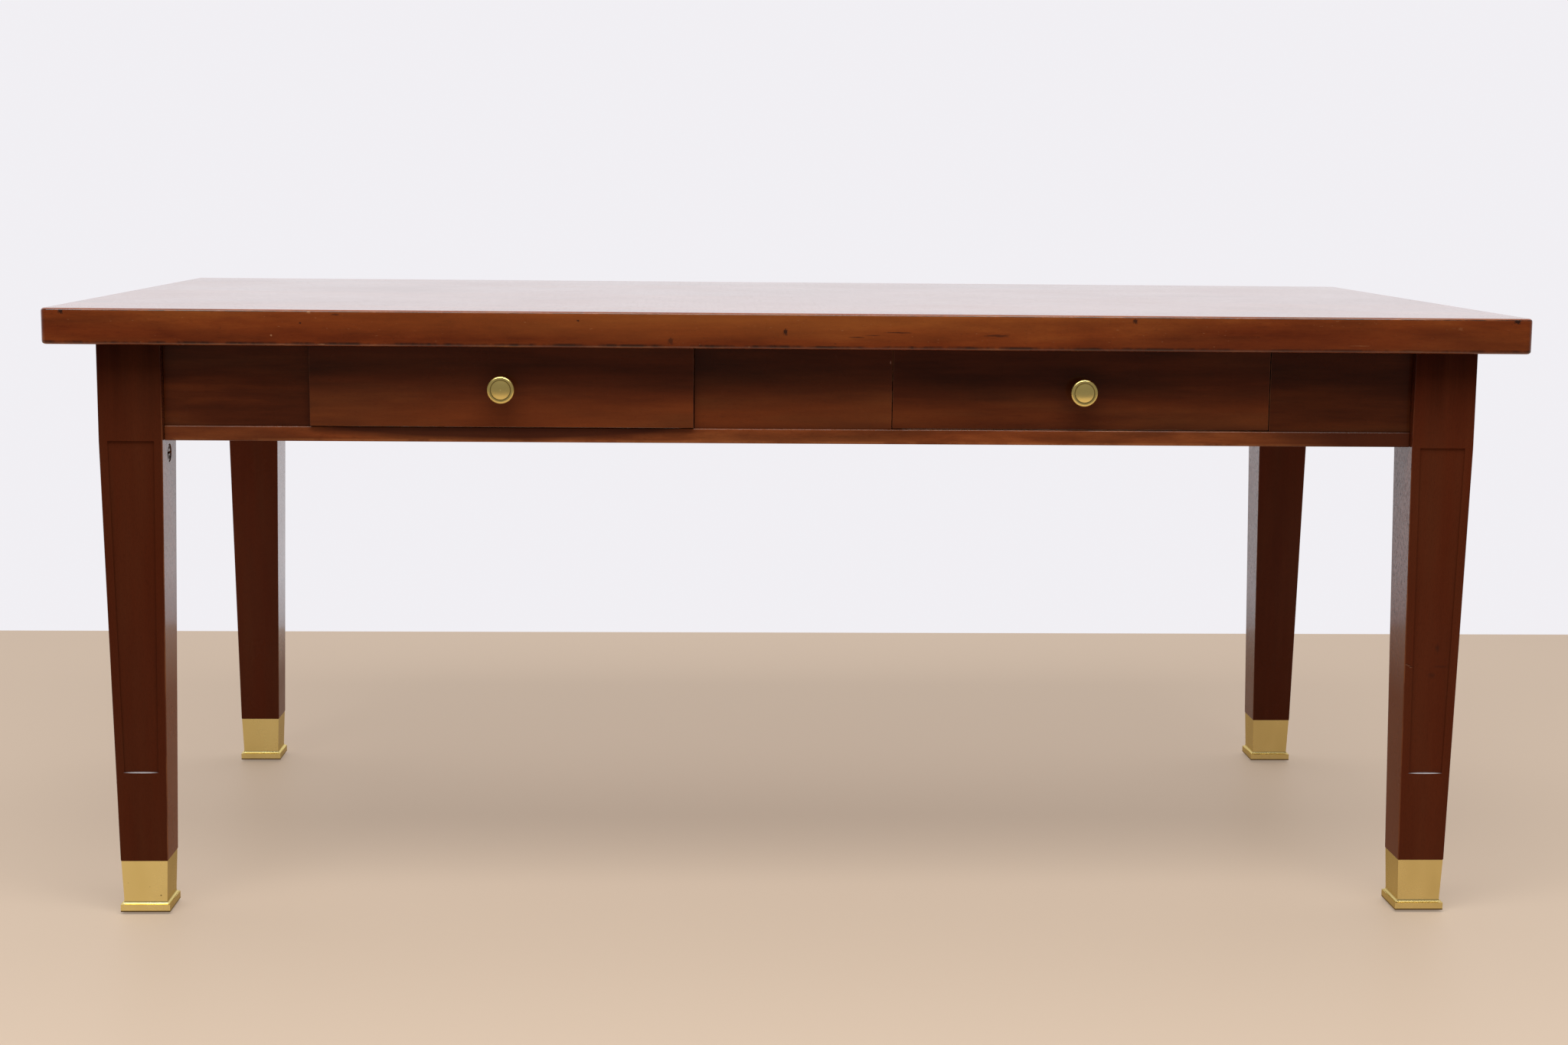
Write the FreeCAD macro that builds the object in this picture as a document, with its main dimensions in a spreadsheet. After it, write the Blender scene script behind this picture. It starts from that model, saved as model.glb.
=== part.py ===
import FreeCAD, Part
import math
import os

import Sketcher

# A mahogany partners desk: a lipped slab top on four tapered legs in brass sabots, with two dovetailed
# drawers on each long side. Millimetres. The origin is on the floor under the middle of the top, X runs
# along the top, Y runs from the front side to the back side and Z is up.

SIZES = {
    # Top
    "top_length": 1829.0,
    "top_depth": 940.0,
    "desk_height": 768.0,
    "top_thickness": 44.0,
    "top_corner_round": 8.0,
    "top_edge_round": 4.0,
    "veneer_thickness": 1.5,
    "lipping_width": 30.0,
    "end_overhang": 60.0,
    "front_overhang": 25.0,
    # Legs
    "leg_head": 78.0,
    "leg_ankle": 59.5,
    "sunk_panel_margin": 10.5,
    "sunk_panel_depth": 1.8,
    "sunk_panel_foot": 184.5,
    # Feet
    "glide_height": 3.0,
    "glide_diameter": 24.0,
    "glide_shank": 6.0,
    "glide_shank_length": 30.0,
    "sabot_height": 66.0,
    "sabot_inset": 0.75,
    "sabot_taper": 2.0,
    "sabot_cove": 4.0,
    "sabot_wall": 2.0,
    "sabot_plate_height": 9.5,
    # Frame under the top
    "drawer_bay_height": 101.5,
    "rail_setback": 10.0,
    "bottom_rail_height": 18.5,
    "bottom_rail_depth": 48.0,
    "upper_rail_height": 18.0,
    "upper_rail_inset": 2.0,
    "panel_setback": 14.0,
    "panel_thickness": 20.0,
    "centre_panel_width": 246.0,
    "side_panel_width": 178.5,
    "apron_thickness": 22.0,
    "tenon_length": 25.0,
    "tenon_shoulder": 4.0,
    "rail_cheek": 8.0,
    "apron_cheek": 6.0,
    "apron_shoulder": 8.0,
    "stub_tenon_length": 10.0,
    "tongue_thickness": 6.0,
    "tongue_height": 6.0,
    "runner_height": 16.0,
    "runner_ledge": 22.0,
    "runner_guide": 12.0,
    "runner_guide_lap": 2.0,
    "runner_guide_gap": 0.5,
    "kicker_width": 60.0,
    # Fixings
    "screw_diameter": 4.5,
    "screw_head": 9.0,
    "screw_reach": 22.0,
    "bolt_head": 23.0,
    "bolt_head_height": 5.0,
    "bolt_shank": 8.0,
    "bolt_length": 38.0,
    "bolt_slot": 2.8,
    "bolt_sink": 1.5,
    "bolt_drop": 18.5,
    # Drawers
    "drawer_rear_gap": 26.0,
    "drawer_side_gap": 1.0,
    "drawer_side_relief": 1.5,
    "drawer_front_lift": 0.7,
    "drawer_top_gap": 1.2,
    "drawer_stop_gap": 0.5,
    "kicker_clearance": 5.0,
    "drawer_side_thickness": 12.0,
    "drawer_back_thickness": 10.0,
    "drawer_back_drop": 4.0,
    "drawer_bottom_thickness": 6.0,
    "drawer_bottom_rise": 8.0,
    "drawer_groove_depth": 6.0,
    "tail_length": 13.0,
    "tail_width": 17.0,
    "tail_flare": 1.8,
    "pin_width": 7.0,
    "pin_flare": 1.4,
    "front_left_pull": 8.0,
    # Knobs
    "knob_diameter": 34.0,
    "knob_projection": 25.0,
    "knob_drop": 2.0,
    "knob_rim": 3.0,
    "knob_face_ring": 1.0,
    "knob_groove_width": 1.6,
    "knob_groove_depth": 1.2,
    "knob_crown": 1.5,
    "knob_neck": 12.0,
    "knob_seat": 19.0,
    "knob_seat_height": 2.5,
    "knob_post": 8.0,
    "knob_post_length": 13.0,
    # Clearances
    "joint_clearance": 0.15,
    "runner_clearance": 0.3,
}

TAILS_PER_CORNER = 3
PINS_PER_CORNER = 3

doc = FreeCAD.newDocument("PartnersDesk")
sheet = doc.addObject("Spreadsheet::Sheet", "Sizes")
for row, (alias, number) in enumerate(SIZES.items(), 1):
    sheet.set(f"A{row}", alias)
    sheet.set(f"B{row}", str(number))
    sheet.setAlias(f"B{row}", alias)
doc.recompute()


class Size:
    """A length worked out from the sheet: its value now, and the expression that keeps it up to date."""

    def __init__(self, value, text):
        self.value = value
        self.text = text

    def __add__(self, other):
        other = as_size(other)
        return Size(self.value + other.value, f"({self.text} + {other.text})")

    def __sub__(self, other):
        other = as_size(other)
        return Size(self.value - other.value, f"({self.text} - {other.text})")

    def __mul__(self, other):
        other = as_size(other)
        return Size(self.value * other.value, f"({self.text} * {other.text})")

    def __truediv__(self, other):
        other = as_size(other)
        return Size(self.value / other.value, f"({self.text} / {other.text})")

    def __neg__(self):
        return Size(-self.value, f"(0 - {self.text})")


def as_size(number):
    """A plain number as a Size."""
    if isinstance(number, Size):
        return number
    return Size(number, f"({number})")


def size(alias):
    """The Size held in one cell of the sheet."""
    return Size(SIZES[alias], f"Sizes.{alias}")


def bind(item, name, length):
    """Ties one property of a document object to a Size."""
    length = as_size(length)
    item.setExpression(name, length.text)


def bind_place(item, x, y, z):
    """Ties the place of a document object to three Sizes."""
    bind(item, "Placement.Base.x", x)
    bind(item, "Placement.Base.y", y)
    bind(item, "Placement.Base.z", z)


# Shared building steps
def block(name, x_span, y_span, z_span):
    """A board between pairs of planes across X, Y and Z."""
    item = doc.addObject("Part::Box", name)
    bind(item, "Length", as_size(x_span[1]) - x_span[0])
    bind(item, "Width", as_size(y_span[1]) - y_span[0])
    bind(item, "Height", as_size(z_span[1]) - z_span[0])
    bind_place(item, x_span[0], y_span[0], z_span[0])
    return item


def rod(name, radius, length, start, direction):
    """A round bar from a start point along a direction."""
    item = doc.addObject("Part::Cylinder", name)
    bind(item, "Radius", radius)
    bind(item, "Height", length)
    item.Placement.Rotation = FreeCAD.Rotation(FreeCAD.Vector(0, 0, 1), FreeCAD.Vector(*direction))
    bind_place(item, *start)
    return item


def compound(name, items):
    """Separate solids kept together."""
    item = doc.addObject("Part::Compound", name)
    item.Links = items
    return item


def fuse(name, items):
    """One solid from pieces that are worked from the same board or casting."""
    item = doc.addObject("Part::MultiFuse", name)
    item.Shapes = items
    item.Refine = True
    return item


def cut(name, base, tools):
    """A solid with mortises, grooves or holes taken out."""
    item = doc.addObject("Part::Cut", name)
    item.Base = base
    item.Tool = tools[0] if len(tools) == 1 else compound(f"{name}_cutters", tools)
    item.Refine = True
    return item


def common(name, base, tool):
    """The space that two solids share."""
    item = doc.addObject("Part::Common", name)
    item.Base = base
    item.Tool = tool
    item.Refine = True
    return item


def mirror(name, source, normal):
    """The opposite hand of a piece, across a middle plane of the desk."""
    item = doc.addObject("Part::Mirroring", name)
    item.Source = source
    item.Base = FreeCAD.Vector(0, 0, 0)
    item.Normal = FreeCAD.Vector(*normal)
    return item


ACROSS_LENGTH = (1, 0, 0)
ACROSS_DEPTH = (0, 1, 0)


def new_body(name):
    """An empty body with the desk's axes."""
    return doc.addObject("PartDesign::Body", name)


def origin_plane(body, role):
    """One of the body's own base planes."""
    return [feature for feature in body.Origin.OriginFeatures if feature.Role == role][0]


def new_sketch(body, name, role):
    """A sketch on one of the body's base planes."""
    sketch = body.newObject("Sketcher::SketchObject", name)
    sketch.AttachmentSupport = [(origin_plane(body, role), "")]
    sketch.MapMode = "FlatFace"
    return sketch


def arc_between(start, end, radius):
    """An arc from start to end that bends left for a positive radius and right for a negative one."""
    chord = end - start
    middle = (start + end) * 0.5
    rise = math.sqrt(max(radius * radius - (chord.Length / 2) ** 2, 0.0))
    left = FreeCAD.Vector(-chord.y, chord.x, 0).normalize()
    centre = middle + left * math.copysign(rise, radius)
    first, last = (start, end) if radius > 0 else (end, start)
    first_angle = math.atan2(first.y - centre.y, first.x - centre.x)
    last_angle = math.atan2(last.y - centre.y, last.x - centre.x)
    if last_angle < first_angle:
        last_angle += 2 * math.pi
    circle = Part.Circle(centre, FreeCAD.Vector(0, 0, 1), abs(radius))
    return Part.ArcOfCircle(circle, first_angle, last_angle)


def fix_coordinate(sketch, kind, geometry, end, length):
    """Holds one end of a line at a distance from the sketch's origin, or on its axis."""
    if length.value == 0 and "Sizes" not in length.text:
        axis = -2 if kind == "DistanceX" else -1
        sketch.addConstraint(Sketcher.Constraint("PointOnObject", geometry, end, axis))
        return
    held = Sketcher.Constraint(kind, -1, 1, geometry, end, length.value)
    number = sketch.addConstraint(held)
    sketch.setExpression(f"Constraints[{number}]", length.text)


def draw_outline(sketch, corners, arcs=None):
    """A closed outline through corners; arcs gives the radius of each side that is round, by its number."""
    arcs = arcs or {}
    corners = [(as_size(across), as_size(up)) for across, up in corners]
    points = [FreeCAD.Vector(across.value, up.value, 0) for across, up in corners]
    starts = []
    ends = []
    for side, start in enumerate(points):
        end = points[(side + 1) % len(points)]
        if side in arcs:
            radius = as_size(arcs[side])
            number = sketch.addGeometry(arc_between(start, end, radius.value))
            starts.append((number, 1 if radius.value > 0 else 2))
            ends.append((number, 2 if radius.value > 0 else 1))
        else:
            number = sketch.addGeometry(Part.LineSegment(start, end))
            starts.append((number, 1))
            ends.append((number, 2))
    for side, (across, up) in enumerate(corners):
        sketch.addConstraint(Sketcher.Constraint("Coincident", *ends[side - 1], *starts[side]))
        fix_coordinate(sketch, "DistanceX", *starts[side], across)
        fix_coordinate(sketch, "DistanceY", *starts[side], up)
    for side, radius in arcs.items():
        radius = as_size(radius)
        held = Sketcher.Constraint("Radius", starts[side][0], abs(radius.value))
        number = sketch.addConstraint(held)
        text = radius.text if radius.value > 0 else (-radius).text
        sketch.setExpression(f"Constraints[{number}]", text)


def rectangle(across, up):
    """The corners of a rectangle between two pairs of lines."""
    return [(across[0], up[0]), (across[1], up[0]), (across[1], up[1]), (across[0], up[1])]


def square(side):
    """The corners of a square about the sketch's origin."""
    half = side / 2
    return rectangle((-half, half), (-half, half))


def lift_sketch(sketch, height):
    """Moves a sketch off its base plane."""
    bind(sketch, "AttachmentOffset.Base.z", height)


def pad(body, name, sketch, length, reverse=False, middle=False):
    """Material added over a sketch."""
    feature = body.newObject("PartDesign::Pad", name)
    feature.Profile = sketch
    bind(feature, "Length", length)
    feature.Reversed = reverse
    feature.Midplane = middle
    return feature


def pocket(body, name, sketch, depth, reverse=False):
    """Material taken away under a sketch."""
    feature = body.newObject("PartDesign::Pocket", name)
    feature.Profile = sketch
    bind(feature, "Length", depth)
    feature.Reversed = reverse
    return feature


def repeat_up(body, name, feature, sketch, span, count):
    """A feature repeated at equal steps up its sketch's vertical axis."""
    pattern = body.newObject("PartDesign::LinearPattern", name)
    pattern.Originals = [feature]
    pattern.Direction = (sketch, ["V_Axis"])
    bind(pattern, "Length", span)
    pattern.Occurrences = count
    body.Tip = pattern
    return pattern


# Lines that the pieces share
half_length = size("top_length") / 2
half_depth = size("top_depth") / 2
underside = size("desk_height") - size("top_thickness")
core_top = size("desk_height") - size("veneer_thickness")
leg_outer_x = half_length - size("end_overhang")
leg_outer_y = half_depth - size("front_overhang")
leg_x = leg_outer_x - size("leg_head") / 2
leg_y = leg_outer_y - size("leg_head") / 2
leg_inner_x = leg_outer_x - size("leg_head")
leg_inner_y = leg_outer_y - size("leg_head")
clear = size("joint_clearance")
sabot_floor = size("glide_height") + size("sabot_plate_height")
ankle_height = size("glide_height") + size("sabot_height")
sabot_top = size("leg_ankle") - size("sabot_inset") * 2
sabot_base = sabot_top - size("sabot_taper") * 2
sabot_plate = sabot_base + size("sabot_cove") * 2
stub = sabot_base - size("sabot_wall") * 2 - clear * 2
rail_top = underside - size("drawer_bay_height")
knee_line = rail_top - size("bottom_rail_height")
rail_front = -(leg_outer_y - size("rail_setback"))
rail_rear = rail_front + size("bottom_rail_depth")
panel_front = -(leg_outer_y - size("panel_setback"))
panel_rear = panel_front + size("panel_thickness")
upper_rail_rear = -(leg_inner_y + size("upper_rail_inset"))
upper_rail_bottom = underside - size("upper_rail_height")
opening_inner = size("centre_panel_width") / 2
opening_outer = leg_inner_x - size("side_panel_width")
drawer_x = (opening_inner + opening_outer) / 2
shoulder = size("tenon_shoulder")


# Tenons and their mortises
def grown(span, room):
    """A span widened by the same room at both ends."""
    return (as_size(span[0]) - room, as_size(span[1]) + room)


def past_end(span, room):
    """A span with room past its far end only."""
    return (span[0], as_size(span[1]) + room)


bottom_tenon = (
    (leg_inner_x, leg_inner_x + size("tenon_length")),
    (rail_front + size("rail_cheek"), rail_rear - size("rail_cheek")),
    (knee_line + shoulder, rail_top - shoulder),
)
upper_tenon = (
    (leg_inner_x, leg_inner_x + size("tenon_length")),
    (panel_rear + size("rail_cheek"), upper_rail_rear - size("rail_cheek")),
    (upper_rail_bottom + shoulder, underside - shoulder),
)
apron_outer = leg_outer_x - size("panel_setback")
apron_inner = apron_outer - size("apron_thickness")
apron_tenon = (
    (apron_inner + size("apron_cheek"), apron_outer - size("apron_cheek")),
    (-leg_inner_y - size("tenon_length"), -leg_inner_y),
    (knee_line + size("apron_shoulder"), underside - size("apron_shoulder")),
)


def mortise(name, tenon, room_axis):
    """The hole that takes a tenon, with room round it and past its end."""
    spans = []
    for axis, span in enumerate(tenon):
        if axis == 2 or axis != room_axis:
            spans.append(grown(span, clear))
        elif room_axis == 0:
            spans.append(past_end(span, clear))
        else:
            spans.append((as_size(span[0]) - clear, span[1]))
    return block(name, *spans)


# Legs: a square head, a long taper, a stub for the sabot and a sunk panel on both outward faces
def leg_blank():
    """The front right leg before its mortises are cut."""
    body = new_body("leg_blank")
    bind_place(body, leg_x, -leg_y, 0)
    fall = (size("leg_head") - size("leg_ankle")) / 2
    taper_height = knee_line - ankle_height

    head = new_sketch(body, "head_square", "XY_Plane")
    lift_sketch(head, knee_line)
    draw_outline(head, square(size("leg_head")))
    pad(body, "head", head, underside - knee_line)

    ankle = new_sketch(body, "ankle_square", "XY_Plane")
    lift_sketch(ankle, ankle_height)
    draw_outline(ankle, square(size("leg_ankle")))
    taper = body.newObject("PartDesign::AdditiveLoft", "taper")
    taper.Profile = head
    taper.Sections = [ankle]
    taper.Ruled = True

    end = new_sketch(body, "stub_square", "XY_Plane")
    lift_sketch(end, sabot_floor)
    draw_outline(end, square(stub))
    pad(body, "stub", end, ankle_height - sabot_floor)

    angle = math.degrees(math.atan2(fall.value, taper_height.value))
    slope = Size(angle, f"atan({fall.text} / {taper_height.text})")
    slant = Size(math.hypot(fall.value, taper_height.value), f"hypot({fall.text}; {taper_height.text})")
    drop = knee_line - size("sunk_panel_foot")
    foot_half = size("leg_head") / 2 - fall * drop / taper_height - size("sunk_panel_margin")
    head_half = size("leg_head") / 2 - size("sunk_panel_margin")
    foot = -(slant * drop / taper_height)
    corners = [(-foot_half, foot), (foot_half, foot), (head_half, 0), (-head_half, 0)]
    for face, role in (("front", "XZ_Plane"), ("end", "YZ_Plane")):
        sunk = new_sketch(body, f"sunk_panel_{face}", role)
        tilt = FreeCAD.Rotation(FreeCAD.Vector(1, 0, 0), 1)
        sunk.AttachmentOffset = FreeCAD.Placement(FreeCAD.Vector(0, 0, 0), tilt)
        bind(sunk, "AttachmentOffset.Base.y", knee_line)
        bind(sunk, "AttachmentOffset.Base.z", size("leg_head") / 2)
        bind(sunk, "AttachmentOffset.Rotation.Angle", slope)
        draw_outline(sunk, corners)
        pocket(body, f"sunk_panel_{face}_cut", sunk, size("sunk_panel_depth"))
    return body


def glide_hole(name, room):
    """The hole for the front right glide's shank, from the floor up."""
    start = (leg_x, -leg_y, 0)
    height = size("glide_height") + size("glide_shank_length")
    return rod(name, size("glide_shank") / 2 + room, height + room, start, (0, 0, 1))


def mortised_leg():
    """The front right leg."""
    return cut("front_right_leg", leg_blank(), [
        mortise("bottom_rail_mortise", bottom_tenon, 0),
        mortise("upper_rail_mortise", upper_tenon, 0),
        mortise("apron_mortise", apron_tenon, 1),
        glide_hole("leg_glide_hole", clear),
    ])


# Brass sabots: a tapered cup with a coved foot, the same profile worked on all four sides
def sabot_profile(name, role):
    """The sabot's side view carried right across it."""
    body = new_body(name)
    bind_place(body, leg_x, -leg_y, 0)
    half_plate = sabot_plate / 2
    half_base = sabot_base / 2
    half_top = sabot_top / 2
    cove_top = sabot_floor + size("sabot_cove")
    sketch = new_sketch(body, f"{name}_outline", role)
    corners = [
        (-half_plate, size("glide_height")),
        (half_plate, size("glide_height")),
        (half_plate, sabot_floor),
        (half_base, cove_top),
        (half_top, ankle_height),
        (-half_top, ankle_height),
        (-half_base, cove_top),
        (-half_plate, sabot_floor),
    ]
    draw_outline(sketch, corners, {2: -size("sabot_cove"), 6: -size("sabot_cove")})
    pad(body, f"{name}_pad", sketch, sabot_plate * 2, middle=True)
    return body


def sabot():
    """The front right sabot."""
    front_view = sabot_profile("sabot_front", "XZ_Plane")
    end_view = sabot_profile("sabot_end", "YZ_Plane")
    moulded = common("sabot_moulded", front_view, end_view)
    half = stub / 2 + clear
    cavity = block("sabot_cavity", (leg_x - half, leg_x + half), (-leg_y - half, -leg_y + half),
                   (sabot_floor, ankle_height))
    return cut("front_right_sabot", moulded, [cavity, glide_hole("sabot_glide_hole", clear)])


def floor_glides():
    """The four glides, each a low disc with a shank driven up through the sabot."""
    glides = []
    for corner, (side, end) in enumerate(((1, -1), (-1, -1), (1, 1), (-1, 1))):
        start = (leg_x * side, leg_y * end, 0)
        disc = rod(f"glide_disc_{corner}", size("glide_diameter") / 2, size("glide_height"), start, (0, 0, 1))
        length = size("glide_height") + size("glide_shank_length")
        shank = rod(f"glide_shank_{corner}", size("glide_shank") / 2, length, start, (0, 0, 1))
        glides.append(fuse(f"glide_{corner}", [disc, shank]))
    return compound("floor_glides", glides)


# Leg bolt, sunk in the inner face of the front left leg
bolt_height = knee_line - size("bolt_drop")
bolt_seat = -leg_inner_x - size("bolt_sink") - size("bolt_head_height")


def leg_bolt():
    """A slotted bolt with a broad flat head."""
    start = (bolt_seat, -leg_y, bolt_height)
    head = rod("bolt_head", size("bolt_head") / 2, size("bolt_head_height"), start, (1, 0, 0))
    shank = rod("bolt_shank", size("bolt_shank") / 2, size("bolt_length"), start, (-1, 0, 0))
    half_slot = size("bolt_slot") / 2
    half_head = size("bolt_head") / 2
    slot_floor = bolt_seat + size("bolt_head_height") / 2
    slot = block("bolt_slot", (slot_floor, slot_floor + size("bolt_head_height")),
                 (-leg_y - half_head, -leg_y + half_head), (bolt_height - half_slot, bolt_height + half_slot))
    return cut("leg_bolt", fuse("bolt_blank", [head, shank]), [slot])


def bolt_hole():
    """The counterbore and hole that take the leg bolt."""
    start = (bolt_seat, -leg_y, bolt_height)
    depth = size("bolt_head_height") + size("bolt_sink")
    bore = rod("bolt_counterbore", size("bolt_head") / 2 + clear, depth, start, (1, 0, 0))
    radius = size("bolt_shank") / 2 + clear
    shank = rod("bolt_shank_hole", radius, size("bolt_length") + clear, start, (-1, 0, 0))
    return fuse("bolt_hole", [bore, shank])


# Top: a core with mitred lippings round it and a face veneer over both, all rounded as one slab
def slab_form():
    """The outer form of the whole top."""
    body = new_body("slab_form")
    bind_place(body, 0, 0, underside)
    sketch = new_sketch(body, "slab_outline", "XY_Plane")
    draw_outline(sketch, rectangle((-half_length, half_length), (-half_depth, half_depth)))
    slab = pad(body, "slab", sketch, size("top_thickness"))
    doc.recompute()
    upright = []
    for number, edge in enumerate(body.Shape.Edges, 1):
        if abs(edge.tangentAt(edge.FirstParameter).z) > 0.9:
            upright.append(f"Edge{number}")
    corner = body.newObject("PartDesign::Fillet", "slab_corners")
    corner.Base = (slab, upright)
    bind(corner, "Radius", size("top_corner_round"))
    doc.recompute()
    level = []
    for number, edge in enumerate(body.Shape.Edges, 1):
        if abs(edge.tangentAt(edge.FirstParameter).z) < 0.1:
            level.append(f"Edge{number}")
    rounding = body.newObject("PartDesign::Fillet", "slab_edges")
    rounding.Base = (corner, level)
    bind(rounding, "Radius", size("top_edge_round"))
    return body


def lipping_blank(name, long_half, short_half, role_swap):
    """A straight lipping mitred at both ends, along the outer edge of the top."""
    body = new_body(name)
    bind_place(body, 0, 0, underside)
    width = size("lipping_width")
    outer = -short_half
    inner = outer + width
    mitre = long_half - width
    corners = [(-long_half, outer), (long_half, outer), (mitre, inner), (-mitre, inner)]
    if role_swap:
        corners = [(up, across) for across, up in reversed(corners)]
    sketch = new_sketch(body, f"{name}_outline", "XY_Plane")
    draw_outline(sketch, corners)
    pad(body, f"{name}_pad", sketch, size("top_thickness") - size("veneer_thickness"))
    return body


def top_pieces():
    """Veneer, core and lippings."""
    slab = slab_form()
    full = (-half_length, half_length)
    deep = (-half_depth, half_depth)
    veneer = common("top_veneer", block("veneer_sheet", full, deep, (core_top, size("desk_height"))), slab)
    front_blank = lipping_blank("front_lipping_blank", half_length, half_depth, False)
    left_blank = lipping_blank("left_lipping_blank", half_depth, half_length, True)
    front = common("front_lipping", front_blank, slab)
    left = common("left_lipping", left_blank, slab)
    back = mirror("back_lipping", front, ACROSS_DEPTH)
    right = mirror("right_lipping", left, ACROSS_LENGTH)
    core_x = half_length - size("lipping_width")
    core_y = half_depth - size("lipping_width")
    board = block("core_board", (-core_x, core_x), (-core_y, core_y), (underside, core_top))
    core = cut("top_core", board, screw_holes("core", screw_places))
    return [veneer, front, left, back, right, core]


# Screws through the upper rails into the core
side_panel_middle = (leg_inner_x + opening_outer) / 2
screw_places = [(x, y) for x in (-side_panel_middle, -opening_inner / 2, opening_inner / 2, side_panel_middle)
                for y in ((panel_rear + upper_rail_rear) / 2, -(panel_rear + upper_rail_rear) / 2)]
screw_length = size("upper_rail_height") + size("screw_reach")


def screw_form(name, place, room):
    """A countersunk screw standing in the rail, or its hole when room is given."""
    start = (place[0], place[1], upper_rail_bottom)
    head = doc.addObject("Part::Cone", f"{name}_head")
    bind(head, "Radius1", size("screw_head") / 2 + room)
    bind(head, "Radius2", size("screw_diameter") / 2 + room)
    bind(head, "Height", (size("screw_head") - size("screw_diameter")) / 2)
    bind_place(head, *start)
    shank = rod(f"{name}_shank", size("screw_diameter") / 2 + room, screw_length + room, start, (0, 0, 1))
    return fuse(name, [head, shank])


def screw_holes(name, places):
    """Holes for the screws at some places."""
    return [screw_form(f"{name}_screw_hole_{number}", place, clear) for number, place in enumerate(places)]


def top_screws():
    """The eight screws that hold the top down."""
    screws = [screw_form(f"screw_{number}", place, 0) for number, place in enumerate(screw_places)]
    return compound("top_screws", screws)


# Rails, aprons and panels
def both_ends(name, tenon):
    """A tenon at each end of a rail."""
    far = block(f"{name}_right", *tenon)
    near = block(f"{name}_left", (-tenon[0][1], -tenon[0][0]), tenon[1], tenon[2])
    return [far, near]


panel_spans = {
    "left": (-leg_inner_x, -opening_outer),
    "centre": (-opening_inner, opening_inner),
    "right": (opening_outer, leg_inner_x),
}
tongue_middle = panel_front + size("panel_thickness") / 2
tongue_line = (tongue_middle - size("tongue_thickness") / 2, tongue_middle + size("tongue_thickness") / 2)
runner_places = {
    "left_outer": (-opening_outer, 1),
    "left_inner": (-opening_inner, -1),
    "right_inner": (opening_inner, 1),
    "right_outer": (opening_outer, -1),
}
kicker_sides = {"left_kicker": -1, "right_kicker": 1}
runner_bottom = rail_top - size("runner_height")


def runner_span(place):
    """The spread of a runner's ledge and guide along the desk, from its drawer opening's edge."""
    edge, inwards = place
    ledge = edge + size("runner_ledge") * inwards
    guide = edge - size("runner_guide") * inwards
    return (guide, ledge) if inwards > 0 else (ledge, guide)


def runner_tenon(place):
    """The stub tenon at the front end of a runner."""
    return (
        grown(runner_span(place), -shoulder),
        (rail_rear - size("stub_tenon_length"), rail_rear),
        (runner_bottom + shoulder, rail_top - shoulder),
    )


def kicker_tenon(side):
    """The stub tenon at the front end of a kicker."""
    half = size("kicker_width") / 2 - shoulder
    return (
        (drawer_x * side - half, drawer_x * side + half),
        (upper_rail_rear - size("stub_tenon_length"), upper_rail_rear),
        (upper_rail_bottom + shoulder, underside - shoulder),
    )


def bottom_rail():
    """The front bottom rail, which the drawers slide over and the panels stand on."""
    board = block("bottom_rail_board", (-leg_inner_x, leg_inner_x), (rail_front, rail_rear),
                  (knee_line, rail_top))
    blank = fuse("bottom_rail_blank", [board] + both_ends("bottom_rail_tenon", bottom_tenon))
    tools = []
    groove_floor = rail_top - size("tongue_height") - clear
    for name, span in panel_spans.items():
        groove = block(f"{name}_panel_groove", span, grown(tongue_line, clear), (groove_floor, rail_top))
        tools.append(groove)
    for name, place in runner_places.items():
        tools.append(mortise(f"{name}_runner_mortise", runner_tenon(place), 1))
    return cut("front_bottom_rail", blank, tools)


def upper_rail():
    """The front upper rail, which ties the legs, carries the top's screws and stops the drawers."""
    board = block("upper_rail_board", (-leg_inner_x, leg_inner_x), (panel_rear, upper_rail_rear),
                  (upper_rail_bottom, underside))
    blank = fuse("upper_rail_blank", [board] + both_ends("upper_rail_tenon", upper_tenon))
    tools = [mortise(f"{name}_mortise", kicker_tenon(side), 1) for name, side in kicker_sides.items()]
    tools += screw_holes("upper_rail", [place for place in screw_places if place[1].value < 0])
    return cut("front_upper_rail", blank, tools)


def end_apron():
    """The right end apron."""
    board = block("apron_board", (apron_inner, apron_outer), (-leg_inner_y, leg_inner_y),
                  (knee_line, underside))
    front = block("apron_tenon_front", *apron_tenon)
    back = block("apron_tenon_back", apron_tenon[0], (-apron_tenon[1][1], -apron_tenon[1][0]), apron_tenon[2])
    return fuse("right_end_apron", [board, front, back])


def front_panel(name):
    """A fixed apron panel with a tongue along its foot."""
    span = panel_spans[name]
    board = block(f"{name}_panel_board", span, (panel_front, panel_rear), (rail_top, underside))
    tongue = block(f"{name}_panel_tongue", span, tongue_line, (rail_top - size("tongue_height"), rail_top))
    return fuse(f"front_{name}_panel", [board, tongue])


def runner(name):
    """A drawer runner from rail to rail, with a tall guide that stands behind the end of the drawer front."""
    edge, inwards = runner_places[name]
    body = new_body(f"{name}_runner_bar")
    sketch = new_sketch(body, f"{name}_runner_section", "XZ_Plane")
    ledge = edge + size("runner_ledge") * inwards
    guide = edge - size("runner_guide") * inwards
    guide_face = edge + size("runner_guide_lap") * inwards
    guide_top = upper_rail_bottom - size("runner_guide_gap")
    corners = [(guide, runner_bottom), (ledge, runner_bottom), (ledge, rail_top), (guide_face, rail_top),
               (guide_face, guide_top), (guide, guide_top)]
    draw_outline(sketch, corners)
    pad(body, f"{name}_runner_pad", sketch, -rail_rear * 2, middle=True)
    tenon = runner_tenon(runner_places[name])
    front = block(f"{name}_runner_tenon_front", *tenon)
    back = block(f"{name}_runner_tenon_back", tenon[0], (-tenon[1][1], -tenon[1][0]), tenon[2])
    return fuse(f"{name}_runner", [body, front, back])


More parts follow.
